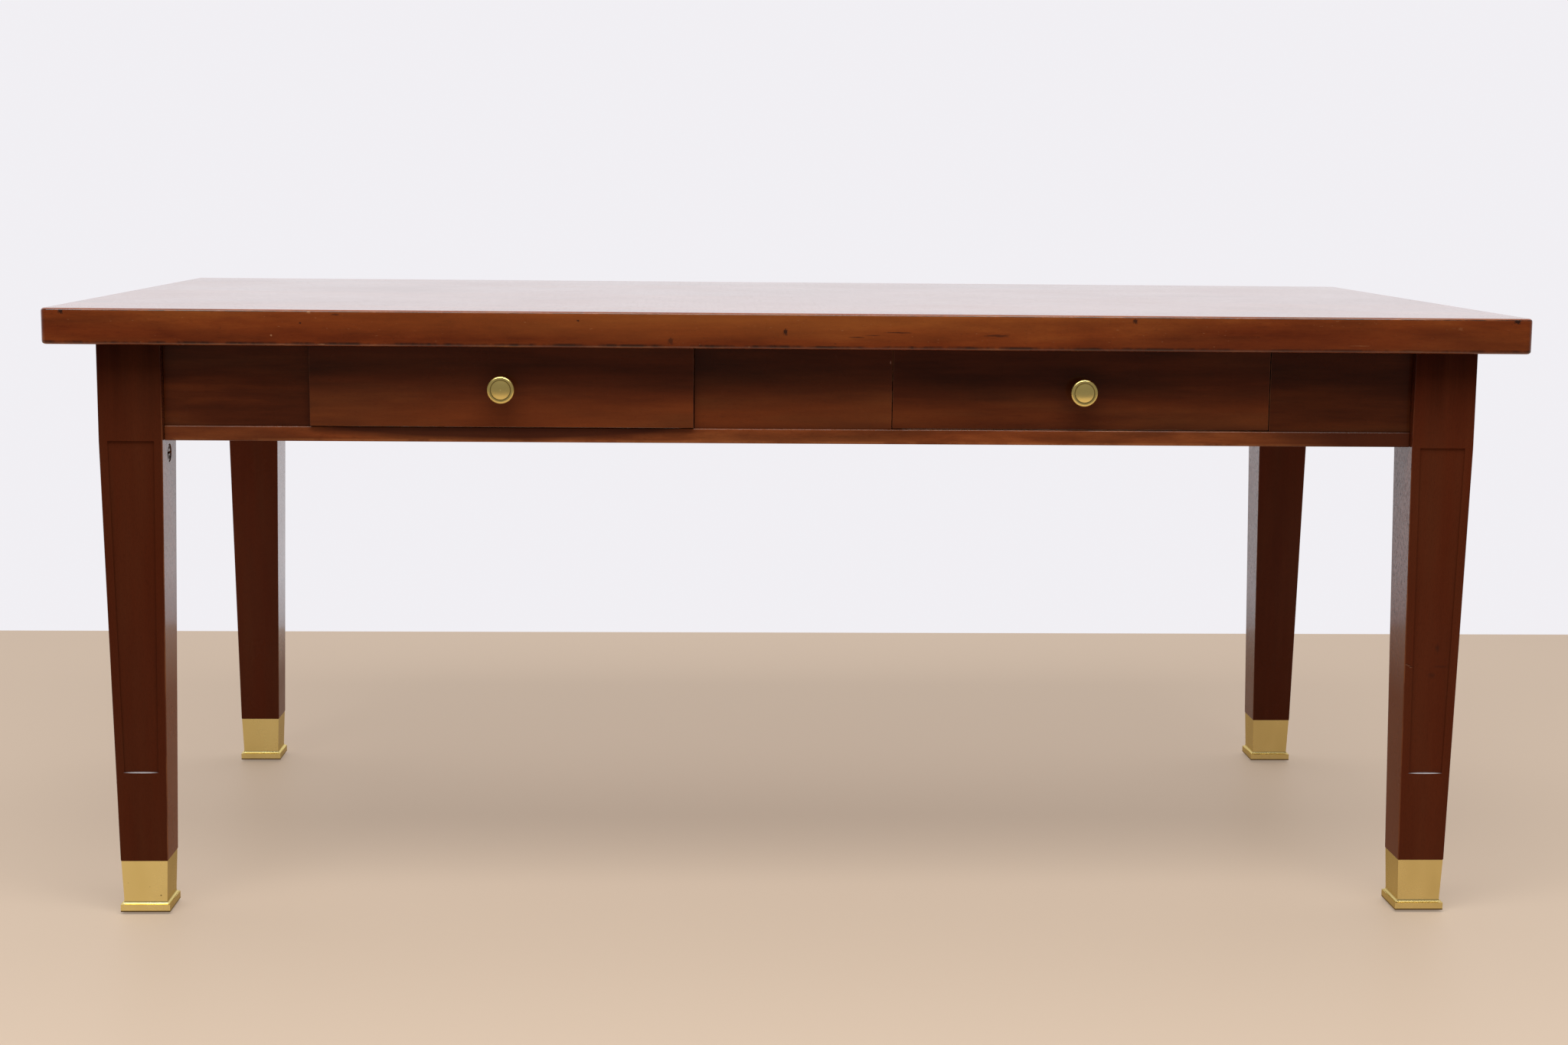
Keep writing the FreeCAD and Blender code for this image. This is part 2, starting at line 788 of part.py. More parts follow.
def kicker(name):
    """A kicker over the drawers, from the front upper rail to the back one."""
    side = kicker_sides[name]
    half = size("kicker_width") / 2
    board = block(f"{name}_board", (drawer_x * side - half, drawer_x * side + half),
                  (upper_rail_rear, -upper_rail_rear), (upper_rail_bottom, underside))
    tenon = kicker_tenon(side)
    front = block(f"{name}_tenon_front", *tenon)
    back = block(f"{name}_tenon_back", tenon[0], (-tenon[1][1], -tenon[1][0]), tenon[2])
    return fuse(name, [board, front, back])


# Drawers, each modelled about the middle of its own front face, at the foot of its sides
drawer_half = (opening_outer - opening_inner) / 2 - size("drawer_side_gap")
box_half = drawer_half - size("drawer_side_relief")
drawer_length = -panel_front - size("drawer_rear_gap")
side_height = upper_rail_bottom - rail_top - size("runner_clearance") - size("kicker_clearance")
front_thickness = size("panel_thickness") - size("drawer_stop_gap")
front_top = underside - rail_top - size("runner_clearance") - size("drawer_top_gap")
side_inner = box_half - size("drawer_side_thickness")
groove_bottom = size("drawer_bottom_rise")
groove_top = groove_bottom + size("drawer_bottom_thickness") + clear * 2
back_front = drawer_length - size("drawer_back_thickness")
back_top = side_height - size("drawer_back_drop")
tail_step = side_height / TAILS_PER_CORNER
pin_step = (back_top - groove_top) / PINS_PER_CORNER
knob_height = (size("drawer_front_lift") + front_top) / 2 - size("knob_drop")


def tail_outline(room):
    """The lowest dovetail, widest at its tip, in a side's own plane."""
    middle = tail_step / 2
    tip = front_thickness - size("tail_length") - room
    neck_half = size("tail_width") / 2 - size("tail_flare") + room
    tip_half = size("tail_width") / 2 + room
    return [(tip, middle - tip_half), (front_thickness, middle - neck_half),
            (front_thickness, middle + neck_half), (tip, middle + tip_half)]


def pin_outline(room):
    """The lowest pin of the back, narrowest at the back face, in a side's own plane."""
    middle = groove_top + pin_step / 2
    root_half = size("pin_width") / 2 + size("pin_flare") + room
    end_half = size("pin_width") / 2 + room
    return [(back_front, middle - root_half), (drawer_length, middle - end_half),
            (drawer_length, middle + end_half), (back_front, middle + root_half)]


def drawer_front(drawer):
    """The front board, with blind sockets for the sides' dovetails and a groove for the bottom."""
    body = new_body(f"{drawer}_front_board")
    outline = new_sketch(body, f"{drawer}_front_outline", "XZ_Plane")
    draw_outline(outline, rectangle((-drawer_half, drawer_half), (size("drawer_front_lift"), front_top)))
    pad(body, f"{drawer}_front_pad", outline, front_thickness, reverse=True)
    tools = []
    for number in range(TAILS_PER_CORNER):
        for hand in (-1, 1):
            socket = new_body(f"{drawer}_socket_{number}_{'left' if hand < 0 else 'right'}")
            sketch = new_sketch(socket, f"{socket.Name}_outline", "YZ_Plane")
            rise = tail_step * number
            draw_outline(sketch, [(across, up + rise) for across, up in tail_outline(clear)])
            lift_sketch(sketch, -drawer_half if hand < 0 else side_inner - clear)
            pad(socket, f"{socket.Name}_pad", sketch, drawer_half - side_inner + clear)
            tools.append(socket)
    groove_end = side_inner + size("drawer_groove_depth") + clear
    groove_start = front_thickness - size("drawer_groove_depth") - clear
    tools.append(block(f"{drawer}_front_groove", (-groove_end, groove_end), (groove_start, front_thickness),
                       (groove_bottom, groove_top)))
    tools.append(rod(f"{drawer}_knob_hole", size("knob_post") / 2 + clear, size("knob_post_length") + clear,
                     (0, 0, knob_height), (0, 1, 0)))
    return cut(f"{drawer}_front", body, tools)


def drawer_side(drawer, hand):
    """A side board, with dovetails at the front, sockets for the back's pins and a groove for the bottom."""
    left = hand == "left"
    board = new_body(f"{drawer}_{hand}_board")
    outline = new_sketch(board, f"{board.Name}_outline", "YZ_Plane")
    draw_outline(outline, rectangle((front_thickness, drawer_length), (0, side_height)))
    start = -box_half if left else side_inner
    lift_sketch(outline, start)
    pad(board, f"{board.Name}_pad", outline, size("drawer_side_thickness"))
    tail_sketch = new_sketch(board, f"{board.Name}_tail_outline", "YZ_Plane")
    draw_outline(tail_sketch, tail_outline(0))
    lift_sketch(tail_sketch, start)
    tail = pad(board, f"{board.Name}_tail", tail_sketch, size("drawer_side_thickness"))
    span = tail_step * (TAILS_PER_CORNER - 1)
    repeat_up(board, f"{board.Name}_tails", tail, tail_sketch, span, TAILS_PER_CORNER)
    pin_sketch = new_sketch(board, f"{board.Name}_pin_outline", "YZ_Plane")
    draw_outline(pin_sketch, pin_outline(clear))
    lift_sketch(pin_sketch, start)
    socket = pocket(board, f"{board.Name}_socket", pin_sketch, size("drawer_side_thickness"), reverse=True)
    span = pin_step * (PINS_PER_CORNER - 1)
    repeat_up(board, f"{board.Name}_sockets", socket, pin_sketch, span, PINS_PER_CORNER)
    depth = size("drawer_groove_depth") + clear
    across = (-side_inner - depth, -side_inner) if left else (side_inner, side_inner + depth)
    groove = block(f"{board.Name}_groove", across, (0, drawer_length), (groove_bottom, groove_top))
    return cut(f"{drawer}_{hand}_side", board, [groove])


def drawer_back(drawer):
    """The back board, which stands on the bottom and is pinned through both sides."""
    body = new_body(f"{drawer}_back")
    outline = new_sketch(body, f"{drawer}_back_outline", "XZ_Plane")
    draw_outline(outline, rectangle((-side_inner, side_inner), (groove_top, back_top)))
    lift_sketch(outline, -drawer_length)
    pad(body, f"{drawer}_back_pad", outline, size("drawer_back_thickness"))
    for hand in (-1, 1):
        side = "left" if hand < 0 else "right"
        sketch = new_sketch(body, f"{drawer}_pin_{side}_outline", "YZ_Plane")
        draw_outline(sketch, pin_outline(0))
        lift_sketch(sketch, -box_half if hand < 0 else side_inner)
        pin = pad(body, f"{drawer}_pin_{side}", sketch, size("drawer_side_thickness"))
        span = pin_step * (PINS_PER_CORNER - 1)
        repeat_up(body, f"{drawer}_pins_{side}", pin, sketch, span, PINS_PER_CORNER)
    return body


def drawer_bottom(drawer):
    """The bottom panel, let into the front and sides and passing under the back."""
    body = new_body(f"{drawer}_bottom")
    half = side_inner + size("drawer_groove_depth")
    start = front_thickness - size("drawer_groove_depth")
    outline = new_sketch(body, f"{drawer}_bottom_outline", "XY_Plane")
    draw_outline(outline, rectangle((-half, half), (start, drawer_length)))
    lift_sketch(outline, groove_bottom + clear)
    pad(body, f"{drawer}_bottom_pad", outline, size("drawer_bottom_thickness"))
    return body


def drawer_knob(drawer):
    """A turned brass knob with a ring groove and a crowned middle, on a post let into the front."""
    body = new_body(f"{drawer}_knob")
    sketch = new_sketch(body, f"{drawer}_knob_outline", "YZ_Plane")
    head = size("knob_diameter") / 2
    rim = size("knob_rim")
    face = -size("knob_projection")
    groove_out = head - rim - size("knob_face_ring")
    groove_in = groove_out - size("knob_groove_width")
    groove_floor = face + size("knob_groove_depth")
    crown = size("knob_crown")
    crown_radius = (groove_in * groove_in + crown * crown) / (crown * 2)
    rim_back = face + rim * 2
    neck_start = -size("knob_seat_height")
    neck = size("knob_neck") / 2
    hollow = (neck_start - rim_back) / 2
    waist = neck_start - hollow
    corners = [
        (size("knob_post_length"), 0),
        (size("knob_post_length"), size("knob_post") / 2),
        (0, size("knob_post") / 2),
        (0, size("knob_seat") / 2),
        (neck_start, size("knob_seat") / 2),
        (neck_start, neck),
        (waist, neck),
        (rim_back, head - rim),
        (face + rim, head),
        (face, head - rim),
        (face, groove_out),
        (groove_floor, groove_out),
        (groove_floor, groove_in),
        (face, groove_in),
        (face - crown, 0),
    ]
    draw_outline(sketch, corners, {7: rim, 8: rim, 13: crown_radius})
    turned = body.newObject("PartDesign::Revolution", f"{drawer}_knob_turned")
    turned.Profile = sketch
    turned.ReferenceAxis = (sketch, ["H_Axis"])
    turned.Angle = 360
    return body


def drawer_pieces(drawer, side, facing_back, pull):
    """One drawer, set in its opening with its knob side out by the given pull."""
    pieces = [drawer_front(drawer), drawer_side(drawer, "left"), drawer_side(drawer, "right"),
              drawer_back(drawer), drawer_bottom(drawer)]
    knob = drawer_knob(drawer)
    closed = panel_front if not facing_back else -panel_front
    outward = 1 if facing_back else -1
    turn = FreeCAD.Rotation(FreeCAD.Vector(0, 0, 1), 180 if facing_back else 0)
    base = rail_top + size("runner_clearance")
    for piece in pieces + [knob]:
        piece.Placement.Rotation = turn
        rise = base + knob_height if piece is knob else base
        bind_place(piece, drawer_x * side, closed + pull * outward, rise)
    return pieces + [knob]


# The whole desk
def mirrored_corners(base, stem):
    """The other three corners of a piece that stands at the front right corner."""
    left = mirror(f"front_left_{stem}", base, ACROSS_LENGTH)
    back = mirror(f"back_right_{stem}", base, ACROSS_DEPTH)
    far = mirror(f"back_left_{stem}", back, ACROSS_LENGTH)
    return left, back, far


def build_desk():
    """Every piece of the desk, each to go in its own file."""
    pieces = top_pieces()
    right_leg = mortised_leg()
    plain_left = mirror("front_left_leg_plain", right_leg, ACROSS_LENGTH)
    back_right = mirror("back_right_leg", right_leg, ACROSS_DEPTH)
    pieces += [right_leg, back_right, mirror("back_left_leg", back_right, ACROSS_LENGTH)]
    pieces += [cut("front_left_leg", plain_left, [bolt_hole()]), leg_bolt()]
    cup = sabot()
    pieces += [cup, *mirrored_corners(cup, "sabot"), floor_glides()]
    for front in (bottom_rail(), upper_rail()):
        pieces += [front, mirror(front.Name.replace("front", "back"), front, ACROSS_DEPTH)]
    apron = end_apron()
    pieces += [apron, mirror("left_end_apron", apron, ACROSS_LENGTH)]
    for name in panel_spans:
        panel = front_panel(name)
        pieces += [panel, mirror(f"back_{name}_panel", panel, ACROSS_DEPTH)]
    pieces += [runner(name) for name in runner_places]
    pieces += [kicker(name) for name in kicker_sides]
    pieces += [top_screws()]
    pieces += drawer_pieces("front_left_drawer", -1, False, size("front_left_pull"))
    pieces += drawer_pieces("front_right_drawer", 1, False, as_size(0))
    pieces += drawer_pieces("back_left_drawer", -1, True, as_size(0))
    pieces += drawer_pieces("back_right_drawer", 1, True, as_size(0))
    return pieces


def check_document(pieces):
    """Stops if any object failed or any piece is not a sound solid."""
    for item in doc.Objects:
        if "Invalid" in item.State or "Error" in item.State:
            raise RuntimeError(f"{item.Label} failed: {item.State}")
    for piece in pieces:
        if piece.Shape.isNull() or not piece.Shape.isValid() or not piece.Shape.Solids:
            raise RuntimeError(f"{piece.Label} has no sound shape")


desk = build_desk()
doc.recompute()
check_document(desk)
os.makedirs("parts", exist_ok=True)
for piece in desk:
    piece.Shape.exportStep(f"parts/{piece.Label}.step")
print(len(desk), "pieces written")
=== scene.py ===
import math
from collections import namedtuple

import bpy
from mathutils import Matrix

# Dresses the solids of the desk with timber, brass and steel, eases their edges, and adds floor, light and camera
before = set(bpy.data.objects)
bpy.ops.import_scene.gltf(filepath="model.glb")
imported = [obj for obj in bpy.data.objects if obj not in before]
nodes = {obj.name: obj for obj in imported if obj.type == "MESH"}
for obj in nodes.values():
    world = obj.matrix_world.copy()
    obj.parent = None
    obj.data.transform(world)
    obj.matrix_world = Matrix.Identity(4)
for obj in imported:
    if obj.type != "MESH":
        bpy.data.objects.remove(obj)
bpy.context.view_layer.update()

# Camera, fitted to the edges of the top, the legs and the feet in a picture 2048 pixels wide
PICTURE_WIDTH = 2048
FOCAL_PIXELS = 3123.23
SENSOR_WIDTH = 36.0
CAMERA_PLACE = (-0.12137, -3.39644, 0.92357)
CAMERA_YAW = 0.0374975
CAMERA_PITCH = 0.140315
CAMERA_ROLL = 0.0095694

# Floor, backdrop and light
FLOOR_MIDDLE = (0.0, -0.4, 0.0)
FLOOR_SIZE = (9.0, 3.8, 1.0)
FLOOR_TONE = (0.70, 0.548, 0.412)
FLOOR_ROUGHNESS = 0.55
FLOOR_SPECULAR = 0.3
FLOOR_GLOW = (0.80, 0.632, 0.481)
FLOOR_GLOW_SHARE = 0.36
WALL_TONE = (0.88, 0.865, 0.90)
ROOM_TONE = (0.25, 0.235, 0.22)
SOFTBOX_PLACE = (-0.15, -1.6, 2.9)
SOFTBOX_SIZE = (3.4, 1.3)
SOFTBOX_POWER = 70.0

# Names that pieces share
CORNERS = ("front_left", "front_right", "back_left", "back_right")
FACES = ("front", "back")

# Places on the desk, in metres from the middle of the floor under it
ORIGIN = (0.0, 0.0, 0.0)
TOP_FRONT = -0.470
BOARD_FRONT = -0.435
KNOB_ASIDE = 0.3605

# Each leg: its middle in plan, the heights of its knee and ankle, and half its width at each
LEG_CENTRE = (0.8155, 0.4060)
LEG_KNEE = 0.604
LEG_ANKLE = 0.069
LEG_HEAD_HALF = 0.0390
LEG_ANKLE_HALF = 0.02975

# Eased edges: how far a vertex may lie from a leg's corner, what is joined and flattened first, which edges are
# rounded, in how many steps and how wide
CORNER_SLACK = 0.0003
WELD_REACH = 0.00001
FLAT_ANGLE = math.radians(0.5)
EDGE_ANGLE = math.radians(30.0)
ROUND_STEPS = 4
LEG_EASE = 0.0014
RAIL_EASE = 0.0015
APRON_EASE = 0.0008

# Directions that the grain of a board can run in, as turns that lay it along X
GRAIN_ALONG_X = (0.0, 0.0, 0.0)
GRAIN_ALONG_Y = (0.0, 0.0, -math.pi / 2)
GRAIN_ALONG_Z = (0.0, math.pi / 2, 0.0)

# Tones of each timber from its darkest streak to its lightest
TOP_TONES = ((0.110, 0.026, 0.007), (0.270, 0.070, 0.018), (0.390, 0.118, 0.030))
EDGE_TONES = ((0.108, 0.0222, 0.0048), (0.202, 0.0475, 0.0096), (0.310, 0.088, 0.0170))
LEG_TONES = ((0.038, 0.0090, 0.0040), (0.084, 0.0202, 0.0078), (0.110, 0.0278, 0.0106))
FRONT_TONES = ((0.034, 0.0096, 0.0042), (0.088, 0.0236, 0.0078), (0.178, 0.0510, 0.0140))
# The rail's tones are paler than the boards', partly painted light on its low face that stands proud of them
RAIL_TONES = ((0.095, 0.0275, 0.0095), (0.205, 0.0610, 0.0185), (0.340, 0.1120, 0.0340))
CARCASE_TONES = ((0.150, 0.080, 0.040), (0.260, 0.150, 0.078), (0.350, 0.220, 0.125))
DRAWER_TONES = ((0.230, 0.130, 0.060), (0.380, 0.235, 0.118), (0.480, 0.320, 0.175))

# Tones that are mixed into the timbers
RED_CAST = (1.000, 0.800, 0.720)
PORE_TONE = (0.020, 0.006, 0.003)
RUBBED_TONE = (0.420, 0.150, 0.050)
SCUFF_TONE = (0.400, 0.195, 0.090)
SCRATCH_TONE = (0.300, 0.160, 0.100)
CHIP_TONE = (0.250, 0.140, 0.110)
# Grime, also used as painted shade along the upper side of a scratch and on the near half of the leg bolt's head
GRIME_AND_SHADE_TONE = (0.022, 0.009, 0.006)
STAIN_TONE = (0.032, 0.014, 0.010)
# Grime and painted shade about the knobs
BLOOM_AND_SHADE_TONE = (0.030, 0.009, 0.005)
# A painted reflection on the inner faces of the legs
INNER_LIGHT_TONE = (0.200, 0.058, 0.016)
# A painted highlight on the ledges of the sunk panels
LEDGE_HIGHLIGHT_TONE = (0.780, 0.770, 0.830)

# Tones of the metals, the brasses from bright to tarnished
KNOB_TONES = ((0.90, 0.73, 0.27), (0.80, 0.62, 0.21))
LEFT_SABOT_TONES = ((0.90, 0.76, 0.34), (0.84, 0.69, 0.28))
RIGHT_SABOT_TONES = ((0.78, 0.63, 0.27), (0.70, 0.55, 0.22))
BRASS_EDGE_TONE = (0.80, 0.71, 0.50)
BRASS_SHADE = (0.430, 0.330, 0.150)
# Dirt on the brass, also used as painted shade round the foot of every sabot
BRASS_DIRT_AND_SHADE = (0.090, 0.050, 0.018)
STEEL_TONE = (0.36, 0.33, 0.30)
STEEL_SHADE = (0.07, 0.045, 0.03)

# Noises: how often each varies along X, Y and Z in a metre, or in the reach of a mark, its detail and its roughness
NOISES = {
    "wander": ((0.9, 3.0, 3.0), 2.0, 0.5),
    "fibre": ((22.0, 800.0, 800.0), 2.0, 0.5),
    "mottle": ((9.0, 42.0, 42.0), 4.0, 0.65),
    "redness": ((3.0, 24.0, 24.0), 3.0, 0.55),
    "rubbed patches": ((14.0, 14.0, 14.0), 4.0, 0.6),
    "ragged rim": ((1.7, 1.7, 1.7), 3.0, 0.5),
    "line drift": ((11.0, 11.0, 0.0), 3.0, 0.6),
    "line gaps": ((17.0, 17.0, 0.0), 4.0, 0.65),
    "scuffs": ((150.0, 640.0, 640.0), 2.0, 0.5),
    "scuffed places": ((9.0, 40.0, 40.0), 2.0, 0.5),
    "dents": ((130.0, 330.0, 370.0), 1.0, 0.5),
    "paling drift": ((3.5, 3.5, 26.0), 3.0, 0.55),
    "smears": ((5.0, 5.0, 5.0), 5.0, 0.6),
    "ripple": ((60.0, 60.0, 60.0), 2.0, 0.5),
    "brass cloud": ((16.0, 16.0, 9.0), 3.0, 0.5),
    "brushing": ((90.0, 90.0, 2400.0), 2.0, 0.5),
    "steel cloud": ((140.0, 140.0, 140.0), 4.0, 0.6),
}

# Masks: the value at which each begins, and the value at which it is full
MASKS = {
    "figure": (0.28, 0.72),
    "pores": (0.0, 0.06),
    "redness": (0.30, 0.58),
    "arris": (0.985, 0.88),
    "rubbed patches": (0.42, 0.62),
    "side": (0.70, 0.95),
    "ledge": (0.30, 0.50),
    "inward": (-0.2, -0.5),
    "under rail": (LEG_KNEE + 0.002, LEG_KNEE - 0.004),
    "line": (1.0, 0.4),
    "line gaps": (-0.06, 0.06),
    "scuffs": (0.71, 0.76),
    "scuffed places": (0.42, 0.6),
    "dents": (0.76, 0.80),
    "tarnish": (0.30, 0.74),
    "steel shade": (0.4, 0.65),
    "wall side": (-0.1, 0.3),
}

# Figure of a board: how often bands and streaks vary along the grain in a metre, their detail and roughness, and the
# shares of bands, streaks and fibre in its tone
BAND_RATE, BAND_DETAIL, BAND_ROUGHNESS = 2.2, 2.0, 0.5
STREAK_RATE, STREAK_DETAIL, STREAK_ROUGHNESS = 5.0, 4.0, 0.6
BAND_SHARE, STREAK_SHARE, FIBRE_SHARE = 0.55, 0.35, 0.10
# Pores open where their noise passes a limit, which falls as their share grows
PORE_DETAIL, PORE_ROUGHNESS = 1.0, 0.5
PORE_LIMIT = 0.80
PORE_LIMIT_FALL = 0.5
# Where a timber's three tones stand in the range of its figure
TONE_PLACES = (0.12, 0.5, 0.88)

# Lacquer: its smears, its fibre and ripple as bump, its coat, and how its polish fades below a worn height
SMEAR_RANGE = (0.35, 0.65)
FIBRE_HEIGHT = 0.35
RIPPLE_HEIGHT = 0.8
TIMBER_BUMP = {"Strength": 0.35, "Distance": 0.00015}
COAT_ROUGHNESS = 0.10
COAT_IOR = 1.5
POLISH_FADE = 0.08
POLISH_KEPT = 0.06

# Metals: the range of their clouds, the roughness at its ends, and how brushing adds to it
CLOUD_RANGE = (0.35, 0.7)
BRASS_ROUGHNESS = (0.22, 0.30)
STEEL_ROUGHNESS = (0.28, 0.5)
BRUSHED_ROUGHNESS = 0.05
BRASS_BUMP = {"Strength": 0.08, "Distance": 0.0001}

# The groove on the face of a knob: its middle across and up, its radius and half its width, then the share of that
# width at which its dirt is full, and the dirt's strength
KNOB_GROOVE = (KNOB_ASIDE, 0.67115, 0.0123, 0.0007)
GROOVE_CORE = 0.4
GROOVE_STRENGTH = 0.7

# Figures that differ from the common one, and the looks of timber that is left raw
CALM_FIGURE = {"Band Width": 0.055, "Streak Width": 0.016, "Mottle": 0.55}
LIVELY_FIGURE = {**CALM_FIGURE, "Mottle": 1.1}
LEG_FIGURE = {"Pore Width": 0.0007, "Pore Length": 0.006, "Pore Share": 0.50}
RAW_COAT = (0.0, 0.0, 0.0, 0.0)
CARCASE_LOOK = {"coat": RAW_COAT, "sheen": (0.5, 0.7)}
DRAWER_LOOK = {"coat": RAW_COAT, "sheen": (0.45, 0.6), "rub": 0.2}

# A mark on timber: its centre, its reach along X, Y and Z, how ragged its rim is, its strength and tone, how deep its
# bump is, and the share of its reach that has its full strength
Mark = namedtuple("Mark", "centre reach ragged strength tone depth core", defaults=(0.0, 0.6))
# A line round the timber: its level, half its width, how far it sways, how broken it is, its strength and tone
Line = namedtuple("Line", "level half_width sway broken strength tone")

# A painted pool of light on the upper middle of the front edge of the top and a painted shade low on its right, then
# its dents and scuffs
EDGE_MARK_REACH = 0.010
EDGE_LIGHT_AND_MARKS = (
    Mark((-0.10, TOP_FRONT, 0.7590), (0.62, 0.050, 0.030), 0.3, 0.40, (0.350, 0.112, 0.024), core=0.0),
    Mark((0.72, TOP_FRONT, 0.7255), (0.42, 0.050, 0.029), 0.3, 0.56, (0.115, 0.024, 0.007), core=0.0),
) + tuple(
    Mark((x, TOP_FRONT, z), (half_length, EDGE_MARK_REACH, half_height), ragged, strength, tone, depth)
    for x, z, half_length, half_height, ragged, strength, tone, depth in (
        (-0.8890, 0.7640, 0.0034, 0.0036, 2.2, 0.92, GRIME_AND_SHADE_TONE, 1.5),
        (0.8938, 0.7638, 0.0046, 0.0030, 2.2, 0.92, GRIME_AND_SHADE_TONE, 1.5),
        (-0.0119, 0.7450, 0.0030, 0.0046, 1.9, 0.85, GRIME_AND_SHADE_TONE, 0.8),
        (-0.1522, 0.7327, 0.0036, 0.0048, 2.2, 0.60, GRIME_AND_SHADE_TONE, 0.5),
        (0.4182, 0.7612, 0.0034, 0.0036, 1.9, 0.80, GRIME_AND_SHADE_TONE, 0.8),
        (0.0760, 0.7392, 0.0110, 0.0007, 1.7, 0.80, GRIME_AND_SHADE_TONE, 0.8),
        (0.0960, 0.7417, 0.0100, 0.0006, 1.7, 0.70, GRIME_AND_SHADE_TONE, 0.8),
        (0.1270, 0.7452, 0.0190, 0.0008, 1.7, 0.75, GRIME_AND_SHADE_TONE, 0.8),
        (0.2486, 0.7422, 0.0170, 0.0018, 2.2, 0.60, GRIME_AND_SHADE_TONE, 0.4),
        (-0.6015, 0.7518, 0.0016, 0.0014, 1.4, 0.85, GRIME_AND_SHADE_TONE, 0.8),
        (-0.5588, 0.7623, 0.0050, 0.0014, 2.2, 0.60, GRIME_AND_SHADE_TONE, 0.4),
        (-0.2650, 0.7571, 0.0018, 0.0014, 1.4, 0.85, GRIME_AND_SHADE_TONE, 0.8),
        (-0.6368, 0.7367, 0.0014, 0.0014, 1.2, 0.80, SCUFF_TONE, 0.3),
        (-0.5761, 0.7262, 0.0050, 0.0007, 1.7, 0.80, SCUFF_TONE, 0.3),
        (-0.5911, 0.7649, 0.0026, 0.0016, 1.9, 0.70, SCUFF_TONE, 0.3),
        (0.6987, 0.7331, 0.0130, 0.0005, 3.0, 0.30, SCUFF_TONE, 0.3),
        (0.7601, 0.7269, 0.0200, 0.0005, 3.0, 0.30, SCUFF_TONE, 0.3),
        (0.8229, 0.7548, 0.0032, 0.0022, 2.2, 0.18, SCUFF_TONE, 0.2),
    )
)
# Dirt along the upper and lower arris of every edge of the top
EDGE_LINES = (
    Line(0.7658, 0.0008, 0.0008, 0.47, 0.85, GRIME_AND_SHADE_TONE),
    Line(0.7272, 0.0024, 0.0026, 0.49, 0.80, GRIME_AND_SHADE_TONE),
)
# The edge is painted paler towards its top, a painted light from above
EDGE_LOOK = {"gloss": 1.2, "pores": (0.3, 0.3), "painted_shading": (0.768, 0.732, 0.2), "lines": EDGE_LINES, "knocks": 0.65}

# A dark bloom about each knob, partly grime from years of fingers and partly painted shade round and below it
KNOB_GRIME_AND_SHADE = tuple(
    Mark((x, y, 0.664), (0.040, 0.060, 0.036), 0.5, 0.45, BLOOM_AND_SHADE_TONE, core=0.0)
    for x in (-KNOB_ASIDE, KNOB_ASIDE) for y in (BOARD_FRONT, -BOARD_FRONT)
)
# A chip on the arris of the centre panel
FRONT_CHIPS = (Mark((0.1207, -0.431, 0.7058), (0.0010, 0.006, 0.0024), 0.8, 0.8, CHIP_TONE, 0.3, 0.5),)
# The boards between the legs: where each is cut from, its share of the common tone, how much paler it is painted
# low down, a painted shade under the overhang of the top, and how far its arrises are eased
FRONT_BOARDS = {
    "left_panel": (5.0, 0.95, 0.20, 0.0006),
    "centre_panel": (6.3, 1.15, 0.45, 0.0006),
    "right_panel": (7.1, 0.66, 0.25, 0.0006),
    "left_drawer_front": (8.0, 1.20, 0.48, 0.0008),
    "right_drawer_front": (9.0, 0.98, 0.30, 0.0008),
}
# How much further on the boards of the back are cut
BACK_BOARD_SHIFT = 20.0

# The rail is darker at both ends, darker under the drawer that stands proud as a painted shadow, and rubbed along its
# lower arris
RAIL_MARKS_AND_SHADOW = (
    Mark((-0.700, BOARD_FRONT, 0.6125), (0.120, 0.050, 0.040), 0.4, 0.45, (0.090, 0.021, 0.008), core=0.5),
    Mark((0.770, BOARD_FRONT, 0.6125), (0.215, 0.060, 0.060), 0.3, 0.92, (0.066, 0.015, 0.006), core=0.40),
    # A painted shadow of the proud drawer on the rail beneath it
    Mark((-KNOB_ASIDE, BOARD_FRONT, 0.6240), (0.275, 0.050, 0.0185), 0.2, 0.88, (0.055, 0.013, 0.006), core=0.72),
)
RAIL_LINES = (Line(0.6050, 0.0030, 0.0012, 0.46, 0.45, RUBBED_TONE),)

# A painted highlight, a pale line on the ledge at the foot of each sunk panel that stands for the reflection of the
# ceiling light, on the long side and on the end
LEDGE_LEVEL = 0.1842
LEDGE_OUT = 0.0312
LEDGE_HIGHLIGHTS = tuple(
    Mark((x * aside, y * along, LEDGE_LEVEL), reach, 0.2, 0.9, LEDGE_HIGHLIGHT_TONE)
    for x in (-1.0, 1.0) for y in (-1.0, 1.0) for aside, along, reach in (
        (LEG_CENTRE[0], LEG_CENTRE[1] + LEDGE_OUT, (0.0230, 0.004, 0.0009)),
        (LEG_CENTRE[0] + LEDGE_OUT, LEG_CENTRE[1], (0.004, 0.0230, 0.0009)),
    )
)
